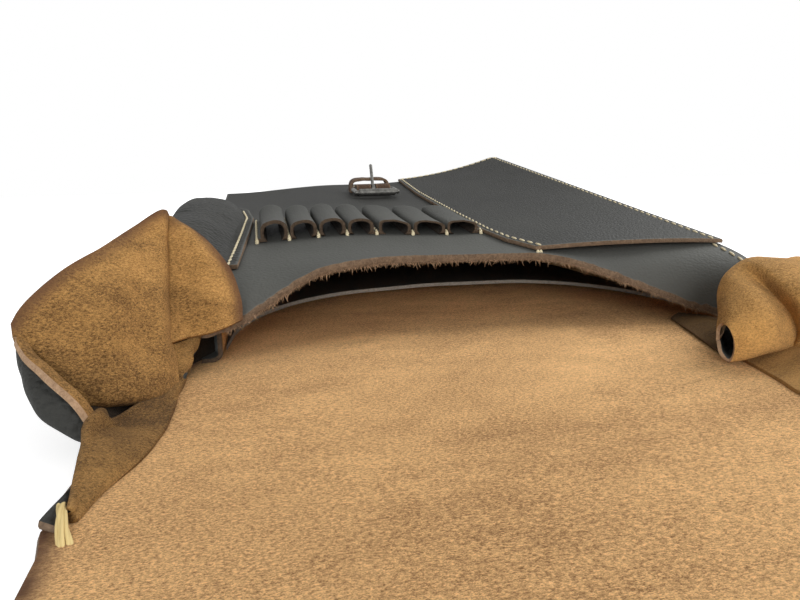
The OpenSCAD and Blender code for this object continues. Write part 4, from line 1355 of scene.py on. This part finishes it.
class STITCHES_OT_make(bpy.types.Operator):
    """Sews the seams of the bag and of the strap on the flap"""
    bl_idname = "saddle_bag.seam_stitches"
    bl_label = "Seam Stitches"

    def execute(self, context):
        s = sizes()
        given = {"Pitch": s.stitch_pitch, "Length": s.stitch_length, "Thread": s.thread, "Slant": 0.14}
        settle(grown("bag_stitches", seam_lines(), "Stitches", given), "bag", "waxed_cord")
        left, right, near, far = STRAP_X - STITCH_HALF, STRAP_X + STITCH_HALF, FLAP_END + 5, STRAP_SEWN - 4
        box = [(left, near), (right, near), (right, far), (left, far), (left, near)]
        lines = []
        for (x0, y0), (x1, y1) in zip(box[:-1], box[1:]):
            x, y = np.linspace(x0, x1, 14), np.linspace(y0, y1, 14)
            lines.append(np.stack([x, y, in_mm(s.panel) + 0.5 + lid_lift(x, y)], -1))
        settle(grown("strap_stitches", lines, "Stitches", given), "flap", "waxed_cord")
        knots = []
        for x in LOOP_FEET:
            z = float(front_z(x, LOOP_Y))
            knots.append([(x, LOOP_Y - 0.9, z + 0.5), (x, LOOP_Y - 0.2, z + 3.0)])
        x, y = 28.6, float(pocket_mouth(28.6))
        corner = float(pocket_top(np.array(x), np.array(y)))
        knots += [[(x - 0.4 + d, y - 0.8, corner - 3.2), (x + d, y - 0.4, corner + 0.5)] for d in (-1.0, 0.4)]
        given = {"Pitch": 0.004, "Length": 0.0034, "Thread": 0.0019, "Slant": 0.0}
        settle(grown("thread_knots", knots, "Stitches", given), "bag", "waxed_cord")
        return {"FINISHED"}


class FIBRES_OT_make(bpy.types.Operator):
    """Frays the raw edge of the mouth"""
    bl_idname = "saddle_bag.edge_fibres"
    bl_label = "Edge Fibres"

    def execute(self, context):
        x = np.linspace(-104, 104, 260)
        lines = [np.stack([x, lip_y(x) - 0.1, front_z(x, lip_y(x)) - h], -1) for h in (2.5, 3.0)]
        # The fibres' pale colour is painted light that lifts the shade under the lip.
        made = grown("mouth_fibres", lines, "Edge fibres", {
            "Spacing": 0.00022, "Length": sizes().fibre, "Thickness": 0.00024, "Lowest turn": 1.7, "Highest turn": 3.5})
        settle(made, "bag", "brown_leather")
        return {"FINISHED"}


# Stage, in metres and watts

FLOOR_HALF, FLOOR_LEVEL = 6.0, -0.0004
SENSOR = 36.0
# Lamps: name, place, aim, width and power.
LAMPS = (
    ("top_light", (1.0, 0.4, 0.85), (0.0, 0.0, 0.0), 0.8, 15.5),
    ("front_light", (-0.25, -1.25, 0.3), (0.0, 0.05, 0.02), 0.8, 14.0),
)


class STAGE_OT_make(bpy.types.Operator):
    """Makes the pale floor, the soft light and the camera"""
    bl_idname = "saddle_bag.stage"
    bl_label = "Stage"

    def execute(self, context):
        scene = context.scene
        scene.view_settings.view_transform = "Standard"
        mesh = bpy.data.meshes.new("floor")
        corners = ((-1, -1), (1, -1), (1, 1), (-1, 1))
        mesh.from_pydata([(FLOOR_HALF * x, FLOOR_HALF * y, FLOOR_LEVEL) for x, y in corners], [], [(0, 1, 2, 3)])
        tree, shader, place = new_material("pale_floor")
        away = add(tree, "ShaderNodeVectorMath", {0: place}, operation="LENGTH").outputs["Value"]
        white = ramp(tree, away, 0.35, 1.3, 0.55, 1.0)
        feed(tree, shader, {"Base Color": (0.86, 0.86, 0.86, 1), "Roughness": 0.9, "Specular IOR Level": 0.1,
                            "Emission Color": (1, 1, 1, 1), "Emission Strength": times(tree, shown(tree), white)})
        mesh.materials.append(mat("pale_floor"))
        linked("floor", mesh)

        world = bpy.data.worlds.new("studio")
        scene.world = world
        world.use_nodes = True
        tree = world.node_tree
        tree.nodes.clear()
        strength = plus(tree, times(tree, shown(tree), 0.5), 0.5)
        sky = add(tree, "ShaderNodeBackground", {"Color": (1, 1, 1, 1), "Strength": strength})
        add(tree, "ShaderNodeOutputWorld", {0: sky.outputs[0]})

        for name, place, aim, size, power in LAMPS:
            lamp = bpy.data.lights.new(name, "AREA")
            lamp.shape, lamp.size, lamp.energy = "DISK", size, power
            holder = linked(name, lamp)
            holder.location = place
            holder.rotation_euler = (Vector(aim) - Vector(place)).to_track_quat("-Z", "Y").to_euler()

        right, up, ahead = eye_axes()
        data = bpy.data.cameras.new("camera")
        data.sensor_width = SENSOR
        data.lens = SENSOR * FOCAL_PX / FRAME_W
        data.clip_start = 0.01
        camera = linked("camera", data)
        turn = Matrix([[right[i], up[i], -ahead[i]] for i in range(3)]).to_4x4()
        camera.matrix_world = Matrix.Translation(Vector(EYE) * MM) @ turn
        scene.camera = camera
        return {"FINISHED"}


PIECES = (
    FINISHES_OT_make, STAGE_OT_make, LID_OT_make, FRONT_OT_make, GUSSET_OT_make, DIVIDER_OT_make, LEFT_EAR_OT_make,
    RIGHT_EAR_OT_make, SIDE_POCKET_OT_make, LARGE_POCKET_OT_make, LOOPS_OT_make, BUCKLE_LEATHER_OT_make, STRAP_OT_make,
    TACKS_OT_make, METAL_OT_make, STITCHES_OT_make, FIBRES_OT_make,
)


class VIEW3D_PT_saddle_bag(bpy.types.Panel):
    """Sidebar list of the bag's pieces and settings"""
    bl_label = "Saddle Bag"
    bl_space_type = "VIEW_3D"
    bl_region_type = "UI"
    bl_category = "Saddle Bag"

    def draw(self, context):
        for piece in PIECES:
            self.layout.operator(piece.bl_idname)
        for settings in (context.scene.bag_sizes, context.scene.bag_colours):
            for key in settings.bl_rna.properties.keys():
                if key not in ("rna_type", "name"):
                    self.layout.prop(settings, key)


CLASSES = (BagSizes, BagColours, *PIECES, VIEW3D_PT_saddle_bag)


def register():
    for cls in CLASSES:
        bpy.utils.register_class(cls)
    bpy.types.Scene.bag_sizes = PointerProperty(type=BagSizes)
    bpy.types.Scene.bag_colours = PointerProperty(type=BagColours)


def unregister():
    del bpy.types.Scene.bag_colours
    del bpy.types.Scene.bag_sizes
    for cls in reversed(CLASSES):
        bpy.utils.unregister_class(cls)


def main():
    register()
    for piece in PIECES:
        family, name = piece.bl_idname.split(".")
        getattr(getattr(bpy.ops, family), name)()


if __name__ == "__main__":
    main()
